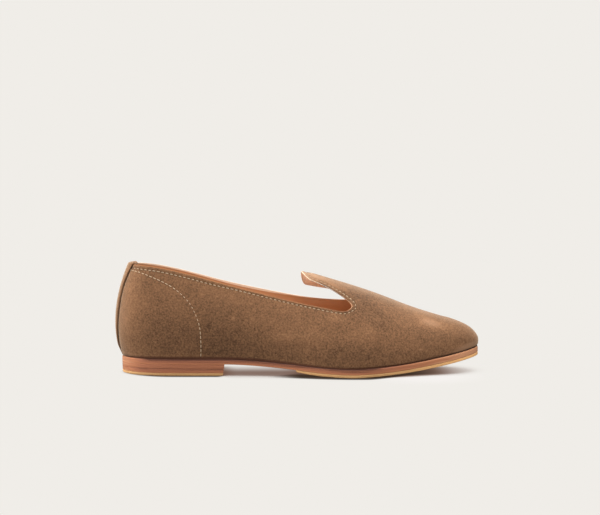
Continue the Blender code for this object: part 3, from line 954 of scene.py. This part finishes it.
def thread_look(colours):
    """Waxed thread with its twist as fine cross bands, browned where it is faded."""
    look = Look("thread", Roughness=0.7, Specular_IOR_Level=0.3)
    twist = look.noise(2600, 1, 0.5)
    base = twist.mix(rgba(0.75 * c for c in colours.thread), rgba(colours.thread))
    look.link(Base_Color=look.attribute("faded").mix(base, rgba(colours.suede_pale)))
    look.bump(twist, 0.1 * MM, 0.5)
    return look.material


def leather_look(colours):
    """Burnished sole leather: fine streaks along the edge, and bands of lighter and darker layers at set
    levels, each a bell curve of the level under the seat."""
    look = Look("sole_leather", Roughness=0.6, Specular_IOR_Level=0.2)
    streak = look.noise(1.0, 3, 0.6, stretch=(22, 22, 1100))
    pore = look.noise(1500, 2, 0.6)
    level = look.attribute("level") + (look.noise(1.0, 1, 0.5, stretch=(30, 30, 30)) - 0.5) * (1.2 * MM)
    tone = 0.42 + (streak - 0.5) * 1.1 + (pore - 0.5) * 0.3
    for band in STACK_BANDS:
        away = (level - band.level * MM) * (1 / (band.reach * MM))
        tone = tone + np.e ** (0 - away * away) * band.tone
    # Painted light towards the toe and at the heel's back, painted shade under the upper's overhang
    tone = tone + look.attribute("wear")
    base = tone.between(0.25, 1.0).mix(rgba(colours.leather), rgba(colours.leather_streak))
    base = tone.between(1.0, 1.9).mix(base, rgba(colours.leather_pale))
    # Darkest at the stack's joints and where painted shade lies under the upper's overhang
    base = tone.between(0.35, -0.3).mix(base, rgba(colours.leather_dark))
    look.link(Base_Color=base)
    look.bump(streak * 0.5 + pore * 0.3, 0.12 * MM, 0.5)
    return look.material


def rubber_look(colours):
    """Beige crepe-like rubber, matt, with small specks."""
    look = Look("rubber", Roughness=0.75, Specular_IOR_Level=0.3)
    speck = look.noise(700, 3, 0.6)
    cloud = look.noise(60, 2)
    # Painted light: lighter towards the toe and along the rubber's lower edge there
    tone = 0.21 + (speck - 0.5) * 0.25 + (cloud - 0.5) * 0.25 + look.attribute("wear") * 0.48
    dark, light = (rgba(share * c for c in colours.rubber) for share in (0.78, 1.8))
    look.link(Base_Color=tone.clamp().mix(dark, light))
    look.bump(speck, 0.15 * MM, 0.4)
    return look.material


def add_object(name, points, faces, materials, attributes):
    """A mesh object at the origin. An attribute given for the outer face of a wall holds for its inner face
    too."""
    mesh = bpy.data.meshes.new(name)
    mesh.from_pydata(np.asarray(points, float).tolist(), [], [list(map(int, face)) for face in faces])
    for material in materials:
        mesh.materials.append(material)
    for key, value in attributes.items():
        value = np.resize(np.asarray(value, np.float32), len(points))
        mesh.attributes.new(key, "FLOAT", "POINT").data.foreach_set("value", value)
    made = bpy.data.objects.new(name, mesh)
    bpy.context.scene.collection.objects.link(made)
    return made


def add_piece(name, points, faces, materials, attributes, sharp=None, indices=None):
    """A mesh object that rides on the shoe, shaded smooth apart from edges sharper than an angle."""
    piece = add_object(name, points, faces, materials, attributes)
    mesh = piece.data
    if indices is not None:
        mesh.polygons.foreach_set("material_index", np.asarray(indices, np.int32))
    mesh.shade_smooth()
    if sharp is not None:
        mesh.set_sharp_from_angle(angle=np.radians(sharp))
    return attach(piece, "root")


def edge_tones(section, up):
    """How pale and how brown a cut edge is, by smooth steps: pale along the medial collar and on the tab's
    end, partly the pale cut leather and partly painted highlight, and brown along the tab's lateral side."""
    side = folded(section)
    lateral = section < TIP
    tab_end_share = smooth(up, 0.765, 0.785) * (1 - smooth(side, 5.85, 6.05))
    cream = np.where(lateral, tab_end_share, 1 - 0.8 * smooth(side, 5.3, 5.9))
    return cream, lateral * smooth(up, 0.59, 0.64) * (1 - smooth(up, 0.755, 0.775))


def nap_and_light_tone(section, up):
    """Sum of the bell curves of the patches, in section and share up the rib, the same on both sides: partly
    the suede's own tone, partly painted light and shade.
    """
    side = folded(section)
    tone = np.zeros_like(up)
    for patch in NAP_AND_LIGHT_PATCHES:
        along = (side - patch.section) / patch.reach_section
        climb = (up - patch.up) / patch.reach_up
        tone += patch.tone * np.exp(-(along**2) - climb**2)
    return tone


def fold_push(points):
    """How far the creases push the suede out, in bell curves of the distance from their runs, fading towards
    a run's ends like a sine, the same on both sides."""
    share = np.linspace(0, 1, 60)
    push = np.zeros(len(points))
    for fold in FOLDS:
        section = fold.start.section + (fold.end.section - fold.start.section) * share
        up = fold.start.up + (fold.end.up - fold.start.up) * share
        for place in (section, LOOP - section):
            away, index = nearest(points, last_point(place, up))
            push += fold.height * MM * bump_at(away, fold.reach * MM) * np.sin(np.pi * share)[index]
    return push


class LOAFER_OT_suede_shell(bpy.types.Operator):
    """Suede upper: the last's surface with its seams pressed in and its foot turned under"""

    bl_idname = "loafer.suede_shell"
    bl_label = "Suede upper"

    def execute(self, context):
        sizes, colours = context.scene.loafer_sizes, context.scene.loafer_colours
        points, faces, section, up = shell_grid(1.0)
        normal = vertex_normals(points, faces)
        from_edge, at_edge = nearest(points, CUT_EDGE.points)
        wall = up > FOOT_UP
        height = points[:, 2] - seat_height(points[:, 0] - SHIFT[0])
        inset = row_inset(sizes, section, up)
        seam = bump_at(from_edge - inset, SEAM_REACH)
        counter = bump_at(from_sides(points, counter_line), SEAM_REACH) * wall
        groove = bump_at(from_sides(points, strip_edge), SEAM_REACH) * wall
        puff = bump_at(from_edge - 0.5 * inset, 0.9 * MM)
        push = PUFF * puff - sizes.seam_depth * (seam + COUNTER_PULL * counter)
        push = push - sizes.groove_depth * groove
        radius = sizes.foot_round
        low = np.clip(radius - height, 0, radius)
        turn_in = np.where(wall, radius - np.sqrt(np.maximum(radius**2 - low**2, 0)), 0)
        side = folded(section)
        sway = np.sin(2.1 * side + 7 * up) * np.sin(1.3 * side - 11 * up + 1)
        push = push + fold_push(points) * smooth(from_edge, 4 * MM, 9 * MM)
        push = push + SWAY * sway * wall - 0.9 * turn_in
        along = points[:, 0] / MM
        gap_reach = 1.1 + 0.45 * smooth(along, -122, -104) - 0.6 * smooth(along, -40, 30)
        gap_reach = (gap_reach - 0.15 * smooth(along, 40, 80)) * MM
        # Painted highlight along the fold where the suede turns in above the heel's sole
        painted_fold_highlight = 0.16 * bump_at(height - 2.6 * MM, 0.6 * MM) * (1 - smooth(side, 3, 4)) * wall
        cream, turned = edge_tones(section, up)
        down = CUT_EDGE.inward[at_edge] * (0.5 * sizes.lining_rise * bump_at(from_edge, 1.5 * MM))[:, None]
        attributes = {
            # seam: painted shade along the stitch rows and the strip's groove
            "seam": np.maximum(np.maximum(seam, 0.4 * counter), 2 * groove),
            # Painted shade in the gap above the sole
            "hollow": 0.95 * np.exp(-((np.maximum(height, 0) / gap_reach) ** 4)),
            "cream": 0.6 * cream,
            "turned": turned,
            "nap": nap_and_light_tone(section, up) + painted_fold_highlight,
        }
        materials = [suede_look(colours), raw_edge_look(colours)]
        points, faces, rim = walled(
            points + normal * push[:, None] + down, faces, normal, skived(sizes.suede, from_edge)
        )
        piece = add_piece("suede_upper", points, faces, materials, attributes, SHARP_ANGLE, rim)
        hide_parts("upper")
        return {"FINISHED"}


class LOAFER_OT_lining(bpy.types.Operator):
    """Lining leather inside the upper, its cut edge standing a little above the suede's"""

    bl_idname = "loafer.lining"
    bl_label = "Lining"

    def execute(self, context):
        sizes, colours = context.scene.loafer_sizes, context.scene.loafer_colours
        points, faces, section, up = shell_grid(LINING_DENSITY, margin=False)
        normal = vertex_normals(points, faces)
        from_edge, at_edge = nearest(points, CUT_EDGE.points)
        inner = points - normal * (skived(sizes.suede, from_edge) + LEATHER_GAP)[:, None]
        rise = -CUT_EDGE.inward[at_edge] * (0.5 * sizes.lining_rise * bump_at(from_edge, 2.0 * MM))[:, None]
        side = folded(section)
        cream, turned = edge_tones(section, up)
        # Where the lining under the tab takes painted light
        pale = smooth(up, 0.60, 0.64) * (1 - smooth(side, 6.0, 6.6))
        front = smooth(side, 4.6, 5.3) * (1 - smooth(up, 0.58, 0.62))
        fade = (0.33 + 0.17 * smooth(side, 2.8, 4.2) - 0.24 * front) * MM
        attributes = {
            "edge": RIM_FADES - from_edge / fade,
            "cream": cream,
            "turned": turned,
            "pale": pale,
            # worn: painted shade just inside the collar
            "worn": bump_at(from_edge, 6 * MM) * (1 - smooth(side, 5.3, 6.0)) * (1 - pale),
        }
        points, faces, rim = walled(inner + rise, faces, normal, skived(sizes.lining, from_edge))
        materials = [lining_look(colours), raw_edge_look(colours)]
        piece = add_piece("lining", points, faces, materials, attributes, SHARP_ANGLE, rim)
        return {"FINISHED"}


class LOAFER_OT_back_strip(bpy.types.Operator):
    """Suede strip up the back seam, folded over the collar"""

    bl_idname = "loafer.back_strip"
    bl_label = "Back strip"

    def execute(self, context):
        colours = context.scene.loafer_colours
        outer = GAP + STRIP_THICKNESS
        turn = np.linspace(0, np.pi, 15)[1:-1]
        rows, turned_rows = 40, 6
        climb = np.linspace(FOOT_UP, 1, rows)
        share = np.concatenate([climb, np.ones(len(turn)), np.linspace(1, 1 - STRIP_TURN_IN, turned_rows)])
        inside = -(WALL + outer)
        pared = outer * (0.15 + 0.85 * smooth(climb, 0, 0.14))
        over = -WALL / 2 + (WALL / 2 + outer) * np.cos(turn)
        out = np.concatenate([pared, over, np.full(turned_rows, inside)])
        above = np.concatenate([np.zeros(rows), outer * np.sin(turn), np.zeros(turned_rows)])
        across = both_ends(24) * 2 - 1
        shares, halves = zip(*STRIP_HALF_WIDTH)
        section = across * np.interp(share, shares, halves)[:, None]
        collar = np.where(section < 0, EDGES["med"][0](-section), EDGES["lat"][0](section))
        up = share[:, None] * collar
        along, rise = slopes(section, up)
        normal = unit(np.cross(along, rise))
        roll = STRIP_ROLL * np.abs(across) ** 8
        points = last_point(section, up) + normal * (out[:, None] - np.sign(out)[:, None] * roll)[..., None]
        points = points + unit(rise) * above[:, None, None]
        faces = grid_faces(*section.shape)
        flat = np.zeros(section.size)
        attributes = {"seam": flat, "hollow": flat, "cream": flat, "turned": flat, "nap": flat + STRIP_NAP_AND_LIGHT}
        materials = [suede_look(colours), raw_edge_look(colours)]
        points = points.reshape(-1, 3)
        normal = vertex_normals(points, faces)
        points, faces, rim = walled(points, faces, normal, STRIP_THICKNESS - LEATHER_GAP)
        piece = add_piece("back_strip_suede", points, faces, materials, attributes, SHARP_ANGLE, rim)
        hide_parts("back_strip")
        return {"FINISHED"}


def stitches(lines, sizes, visible):
    """Stitches along lines of points: each a short capsule, its ends dipping into the suede, the shape a
    function of the share along it and the turn round it."""
    along = np.linspace(-1, 1, 7)[:, None]
    turn = np.linspace(0, 2 * np.pi, 6, endpoint=False)
    round_off = np.sqrt(1 - STITCH_NARROWING * along**2)
    points, faces, total = [], [], 0
    for line, normals in lines:
        run = running_length(line)
        number = max(1, round(run[-1] / sizes.stitch_pitch))
        middle = (np.arange(number) + 0.5) * run[-1] / number

        def read(values, at):
            return np.stack([np.interp(at, run, values[:, k]) for k in range(3)], -1)

        ends = [read(line, middle + s * visible / 2) for s in (-1, 1)]
        centre = read(line, middle)
        normal = unit(read(normals, middle))
        forward = (ends[1] - ends[0]) / 2
        beside = unit(np.cross(normal, forward))
        reach = along + 0 * turn
        width = 0.5 * sizes.thread * np.cos(turn) * round_off
        lift = 0.5 * sizes.thread * (np.sin(turn) * round_off + STITCH_PROUD - STITCH_DIP * along**2)
        shape = (
            centre[:, None, None]
            + forward[:, None, None] * reach[..., None]
            + beside[:, None, None] * width[..., None]
            + normal[:, None, None] * lift[..., None]
        )
        size = len(along) * len(turn)
        tube = grid_faces(len(along), len(turn), closed=True)
        offsets = total + size * np.arange(number)[:, None, None]
        faces += (tube + offsets).reshape(-1, 4).tolist()
        cap = np.arange(len(turn))
        for ring in (cap[::-1], cap + size - len(turn)):
            faces += (ring + offsets[:, :, 0]).tolist()
        points.append(shape.reshape(-1, 3))
        total += size * number
    return np.concatenate(points), faces


class LOAFER_OT_stitches(bpy.types.Operator):
    """Stitch rows along the topline and round the heel counter"""

    bl_idname = "loafer.stitches"
    bl_label = "Stitches"

    def execute(self, context):
        sizes, colours = context.scene.loafer_sizes, context.scene.loafer_colours
        thread = thread_look(colours)
        strip_side = np.interp(0.98, *zip(*STRIP_HALF_WIDTH)) + CLEAR_OF_STRIP
        loose = folded(CUT_EDGE.section) > strip_side
        edge = surface_line(CUT_EDGE.section[loose], CUT_EDGE.up[loose])
        inset = row_inset(sizes, edge.section, edge.up)
        row = last_point(*moved(edge.section, edge.up, edge.inward * inset[:, None]))
        clear = nearest(row, edge.points)[0] > 0.96 * inset
        row, normal = row[clear], edge.normal[clear]
        sunk = row - normal * sizes.seam_depth
        points, faces = stitches([(sunk, normal)], sizes, sizes.stitch_length)
        faded = 0.65 * smooth(edge.up[clear][nearest(points, row)[1]], 0.65, 0.75)
        add_piece("topline_stitches", points, faces, [thread], {"faded": faded})
        lines = []
        for side in SIDES:
            line = counter_line(side)
            lines.append((line.points - line.normal * COUNTER_PULL * sizes.seam_depth, line.normal))
        points, faces = stitches(lines, sizes, sizes.counter_stitch)
        add_piece("counter_stitches", points, faces, [thread], {"faded": np.zeros(len(points))})
        return {"FINISHED"}


def sole_painted_light(along, level):
    """How light the sole's edge is drawn, by place along and level under the seat, in mm, by smooth steps:
    painted shade under the upper's overhang, painted light towards the toe, on its top rim and lower edge and
    at the heel's back, and a little paler along the waist."""
    overhang = smooth(along, -122, -106) * (1 - smooth(along, 45, 75))
    wear = -0.75 * overhang * smooth(level, -2.3, -0.5)
    heel_back = 1 - smooth(along, -130, -112)
    waist = 0.15 * smooth(along, -60, -30) * (1 - smooth(along, 5, 35))
    wear += heel_back + waist
    wear += 0.5 * smooth(along, 50, 80) * smooth(-level, 4.6, 5.8)
    toe_rim = 0.4 * smooth(along, 60, 90) * bump_at(level + 0.7, 0.5)
    wear += np.interp(along, *zip(*TOE_PAINTED_LIGHT)) + toe_rim
    return wear


class LOAFER_OT_bottom(bpy.types.Operator):
    """Outsole, half sole, stacked lifts and top piece"""

    bl_idname = "loafer.bottom"
    bl_label = "Bottom"

    def execute(self, context):
        sizes, colours = context.scene.loafer_sizes, context.scene.loafer_colours
        leather, rubber = leather_look(colours), rubber_look(colours)
        low = GAP + OUTSOLE_THICKNESS

        def under(depth):
            return lambda x: seat_height(x) - depth

        def seam_fall(x):
            return SEAM_DROP * smooth(x, HALF_SOLE_START_X, SEAM_FALL_END_X)

        def rubber_seam(x):
            """The seat less the outsole, and less two smooth steps, along the forepart and to the toe."""
            return seat_height(x) - low - GAP - seam_fall(x) - TOE_SEAM_DROP * smooth(x, *TOE_SEAM_X)

        def leather_bottom(x):
            return rubber_seam(x) + HAIRLINE

        def half_sole_bottom(x):
            """The seat less the outsole and the rubber, which grows in a straight line from its back edge to
            the tread, and by smooth steps under the toe and where the seam falls."""
            grown = np.clip((x - HALF_SOLE_START_X) / (TREAD_START_X - HALF_SOLE_START_X), 0, 1)
            thickness = HALF_SOLE_EDGE + (HALF_SOLE_THICKNESS - HALF_SOLE_EDGE) * grown
            thickness = thickness + HALF_SOLE_TOE * smooth(x, *TOE_RUBBER_X)
            thickness += seam_fall(x) * (1 - smooth(x, SEAM_STEP_END_X, TREAD_START_X))
            return seat_height(x) - low - GAP - thickness

        def taper(z):
            return HEEL_TAPER + (1 - HEEL_TAPER) * np.clip(z / (HEEL_SEAT - low), 0, 1)

        def add(name, node, material, line, profile, top, bottom, shaping=None):
            points, faces = layer(line, profile, top, bottom, shaping)
            level = points[:, 2] - seat_height(points[:, 0] - SHIFT[0])
            # Painted light and shade on the sole's edges, by place
            attributes = {"level": level, "wear": sole_painted_light(points[:, 0] / MM, level / MM)}
            piece = add_piece(name, points, faces, [material], attributes, SHARP_ANGLE)
            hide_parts(node)

        whole = sole_line(SOLE_OVERHANG)
        profile = rounded(OUTSOLE_THICKNESS, sizes.sole_round, OUTSOLE_LOW_ROUND)
        add("outsole_leather", "outsole", leather, whole, profile, under(GAP), leather_bottom)
        front = sole_line(SOLE_OVERHANG, start=HALF_SOLE_START_X)
        profile = rounded(HALF_SOLE_THICKNESS, *HALF_SOLE_ROUND)
        add("half_sole_rubber", "half_sole", rubber, front, profile, rubber_seam, half_sole_bottom)
        back = sole_line(SOLE_OVERHANG, stop=BREAST_X, count=160)
        stack_top = HEEL_SEAT - low - GAP
        lift = (stack_top - TOP_PIECE_THICKNESS - LIFT_COUNT * GAP) / LIFT_COUNT
        tops = [stack_top - i * (lift + GAP) for i in range(LIFT_COUNT)] + [TOP_PIECE_THICKNESS, 0.0]
        for i in range(LIFT_COUNT + 1):
            is_rubber = i == LIFT_COUNT
            name = "heel_top_piece" if is_rubber else f"heel_lift_{i + 1}"
            top = under(low + GAP) if i == 0 else (lambda x, h=tops[i]: np.full_like(x, h))
            floor = tops[i + 1] + (0 if is_rubber else HAIRLINE)
            low_round = TOP_PIECE_LOW_ROUND if is_rubber else sizes.lift_round
            profile = rounded(lift, sizes.lift_round, low_round)
            add(
                name + ("_rubber" if is_rubber else "_leather"),
                name,
                rubber if is_rubber else leather,
                back,
                profile,
                top,
                lambda x, h=floor: np.full_like(x, h),
                taper,
            )
        return {"FINISHED"}


class LOAFER_OT_sock(bpy.types.Operator):
    """Leather sock on the insole board"""

    bl_idname = "loafer.sock"
    bl_label = "Insole sock"

    def execute(self, context):
        colours = context.scene.loafer_colours
        base = WALL + GAP
        line = sole_line(-(WALL + SOCK_INSET))
        profile = rounded(INSOLE_THICKNESS, *SOCK_ROUND)
        points, faces = layer(
            line,
            profile,
            lambda x: seat_height(x) + base + INSOLE_THICKNESS,
            lambda x: seat_height(x) + base,
        )
        attributes = {name: np.zeros(len(points)) for name in ("edge", "cream", "pale", "worn")}
        piece = add_piece("sock", points, faces, [lining_look(colours)], attributes, SHARP_ANGLE)
        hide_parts("insole")
        return {"FINISHED"}


def floor_look(colours):
    """Pale paper, lit from above. Where the shadow share is low it glows instead, so a shadow stays soft
    there. What it throws back on the shoe is dimmer than what the camera sees."""
    look = Look("floor", Roughness=0.9, Specular_IOR_Level=0.0, Emission_Strength=1.0)
    seen = look.start.node("LightPath", out="Is Camera Ray")
    shadow, contact, bright = (look.attribute(name) for name in ("shadow", "contact", "bright"))
    black = rgba((0, 0, 0))
    lit = shadow.mix(black, rgba(a * b for a, b in zip(colours.floor, SHADOW_DEPTH)))
    left = rgba(a * (1 - b) for a, b in zip(colours.backdrop, SHADOW_DEPTH))
    # Painted pool of light round the toe, and painted contact shadow along the sole
    open_floor = bright.mix(rgba(colours.backdrop), rgba(colours.floor_bright))
    glow = contact.mix(shadow.mix(open_floor, left), rgba(colours.contact))
    look.link(
        Base_Color=seen.mix(rgba(SURROUND_SHARE * c for c in colours.floor), contact.mix(lit, black)),
        Emission_Color=seen.mix(black, glow),
    )
    return look.material


def floor_grid():
    """A flat grid, fine round the shoe, with three shares by smooth steps: the shadow that shows, all of it
    under the sole, fading outside its edge, towards the toe's spring and under the far side of the waist; a
    painted contact shadow where the sole meets the floor; and a painted pool of light round the toe."""
    outer = np.array([60, 6, 0.8, 0.26, 0.22, 0.19])  # metres
    x = np.concatenate([-outer, np.linspace(-0.17, 0.17, 273), outer[::-1]])
    y = np.concatenate([-outer, np.linspace(-0.16, -0.07, 16)[:-1], np.linspace(-0.07, 0.07, 141)])
    y = np.concatenate([y, np.linspace(0.07, 0.16, 16)[1:], outer[::-1]])
    points = np.stack([*np.meshgrid(x, y), np.zeros((len(y), len(x)))], -1)
    faces = grid_faces(len(y), len(x))
    points = points.reshape(-1, 3)
    line = sole_line(SOLE_OVERHANG) + SHIFT[:2]
    outward = unit(right_of(np.roll(line, -1, axis=0) - np.roll(line, 1, axis=0)))
    away, index = nearest(points[:, :2], line)
    away = away * np.sign(dot(points[:, :2] - line[index], outward[index]))
    along, across = points[:, 0] / MM, points[:, 1] / MM
    waist = smooth(along, -62, -44) * (1 - smooth(along, -14, 14))
    fade = (5 + 15 * waist + (9 + 10 * smooth(across, -5, 20)) * smooth(along, 85, 125)) * MM
    shadow = 1 - smooth(away, -(1 + 6 * waist + 6 * smooth(along, 45, 75)) * MM, fade)
    shadow *= smooth(along, -134, -120) * (1 - 0.065 * smooth(along, 60, 85)) * (1 - smooth(along, 97, 150))
    shadow *= 1 - waist * (0.12 + 0.56 * smooth(across, -10, 28))
    forepart = smooth(along, -28, 2)
    low = smooth(along, -130, -108) * (1 - smooth(along, -60, -55)) + forepart * (1 - smooth(along, 78, 116))
    depth = 10 * forepart + 25 * smooth(along, 55, 90)
    inside = smooth(away / MM, -3 - 2 * depth, -depth)
    outside = 2.8 + 4.4 * smooth(along, -128, -95) + 3.2 * smooth(along, -40, 35)
    outside = outside - 15.5 * smooth(along, 45, 82)
    outside = np.where(across < 0, outside, 0.4 * outside)
    # Painted contact shadow along the sole
    contact = 0.95 * low * inside * (1 - smooth(away / MM, outside - 6, outside))
    near_toe = np.hypot((along - 88) / 54, (across + 22) / 58)
    return points, faces, {"shadow": shadow, "contact": contact, "bright": 1 - smooth(near_toe, 0.3, 1.0)}


class LOAFER_OT_stage(bpy.types.Operator):
    """Pale floor, soft light from above and a camera at the picture's angle"""

    bl_idname = "loafer.stage"
    bl_label = "Stage"

    def execute(self, context):
        scene, colours = context.scene, context.scene.loafer_colours
        scene.view_settings.view_transform = "Standard"
        points, faces, shares = floor_grid()
        floor = add_object("floor", points, faces, [floor_look(colours)], shares)

        world = bpy.data.worlds.new("surround")
        world.use_nodes = True
        seen = Value(world.node_tree).node("LightPath", out="Is Camera Ray")
        tone = seen.mix(rgba(SURROUND_SHARE * c for c in colours.backdrop), rgba(colours.backdrop))
        world.node_tree.links.new(tone.socket, world.node_tree.nodes["Background"].inputs["Color"])
        scene.world = world
        for lamp in LAMPS:
            light = bpy.data.lights.new(lamp.name, "SUN")
            light.angle = np.radians(lamp.width)
            light.energy = lamp.strength
            holder = bpy.data.objects.new(lamp.name, light)
            holder.rotation_euler = (np.radians(lamp.turn_x), np.radians(lamp.turn_y), 0)
            scene.collection.objects.link(holder)

        yaw, roll = np.radians(CAMERA_YAW), np.radians(CAMERA_ROLL)
        aim = np.array(AIM)
        place = np.array(
            [aim[0] + CAMERA_DISTANCE * np.sin(yaw), aim[1] - CAMERA_DISTANCE * np.cos(yaw), CAMERA_HEIGHT]
        )
        back = unit(place - aim)
        right = unit(np.cross([0, 0, 1], back))
        above = np.cross(back, right)
        rolled_x = np.cos(roll) * right + np.sin(roll) * above
        rolled_y = np.cos(roll) * above - np.sin(roll) * right
        turned = np.stack([rolled_x, rolled_y, back], -1)
        data = bpy.data.cameras.new("camera")
        data.sensor_width = SENSOR
        data.lens = SENSOR * FOCAL / PICTURE[0]
        camera = bpy.data.objects.new("camera", data)
        camera.matrix_world = Matrix.Translation(place * MM) @ Matrix(turned.tolist()).to_4x4()
        scene.collection.objects.link(camera)
        scene.camera = camera
        return {"FINISHED"}


PIECES = (
    LOAFER_OT_suede_shell,
    LOAFER_OT_lining,
    LOAFER_OT_back_strip,
    LOAFER_OT_stitches,
    LOAFER_OT_bottom,
    LOAFER_OT_sock,
    LOAFER_OT_stage,
)


class LOAFER_PT_pieces(bpy.types.Panel):
    """The loafer's pieces, sizes and colours"""

    bl_label = "Suede slipper loafer"
    bl_space_type = "VIEW_3D"
    bl_region_type = "UI"
    bl_category = "Loafer"

    def draw(self, context):
        for operator in PIECES:
            self.layout.operator(operator.bl_idname)
        for group in (context.scene.loafer_sizes, context.scene.loafer_colours):
            for key in group.bl_rna.properties.keys():
                if key not in ("rna_type", "name"):
                    self.layout.prop(group, key)


CLASSES = (LoaferSizes, LoaferColours, *PIECES, LOAFER_PT_pieces)


def register():
    for made in CLASSES:
        bpy.utils.register_class(made)
    bpy.types.Scene.loafer_sizes = bpy.props.PointerProperty(type=LoaferSizes)
    bpy.types.Scene.loafer_colours = bpy.props.PointerProperty(type=LoaferColours)


def unregister():
    del bpy.types.Scene.loafer_colours
    del bpy.types.Scene.loafer_sizes
    for made in reversed(CLASSES):
        bpy.utils.unregister_class(made)


def main():
    register()
    for operator in PIECES:
        group, name = operator.bl_idname.split(".")
        getattr(getattr(bpy.ops, group), name)()


if __name__ == "__main__":
    main()
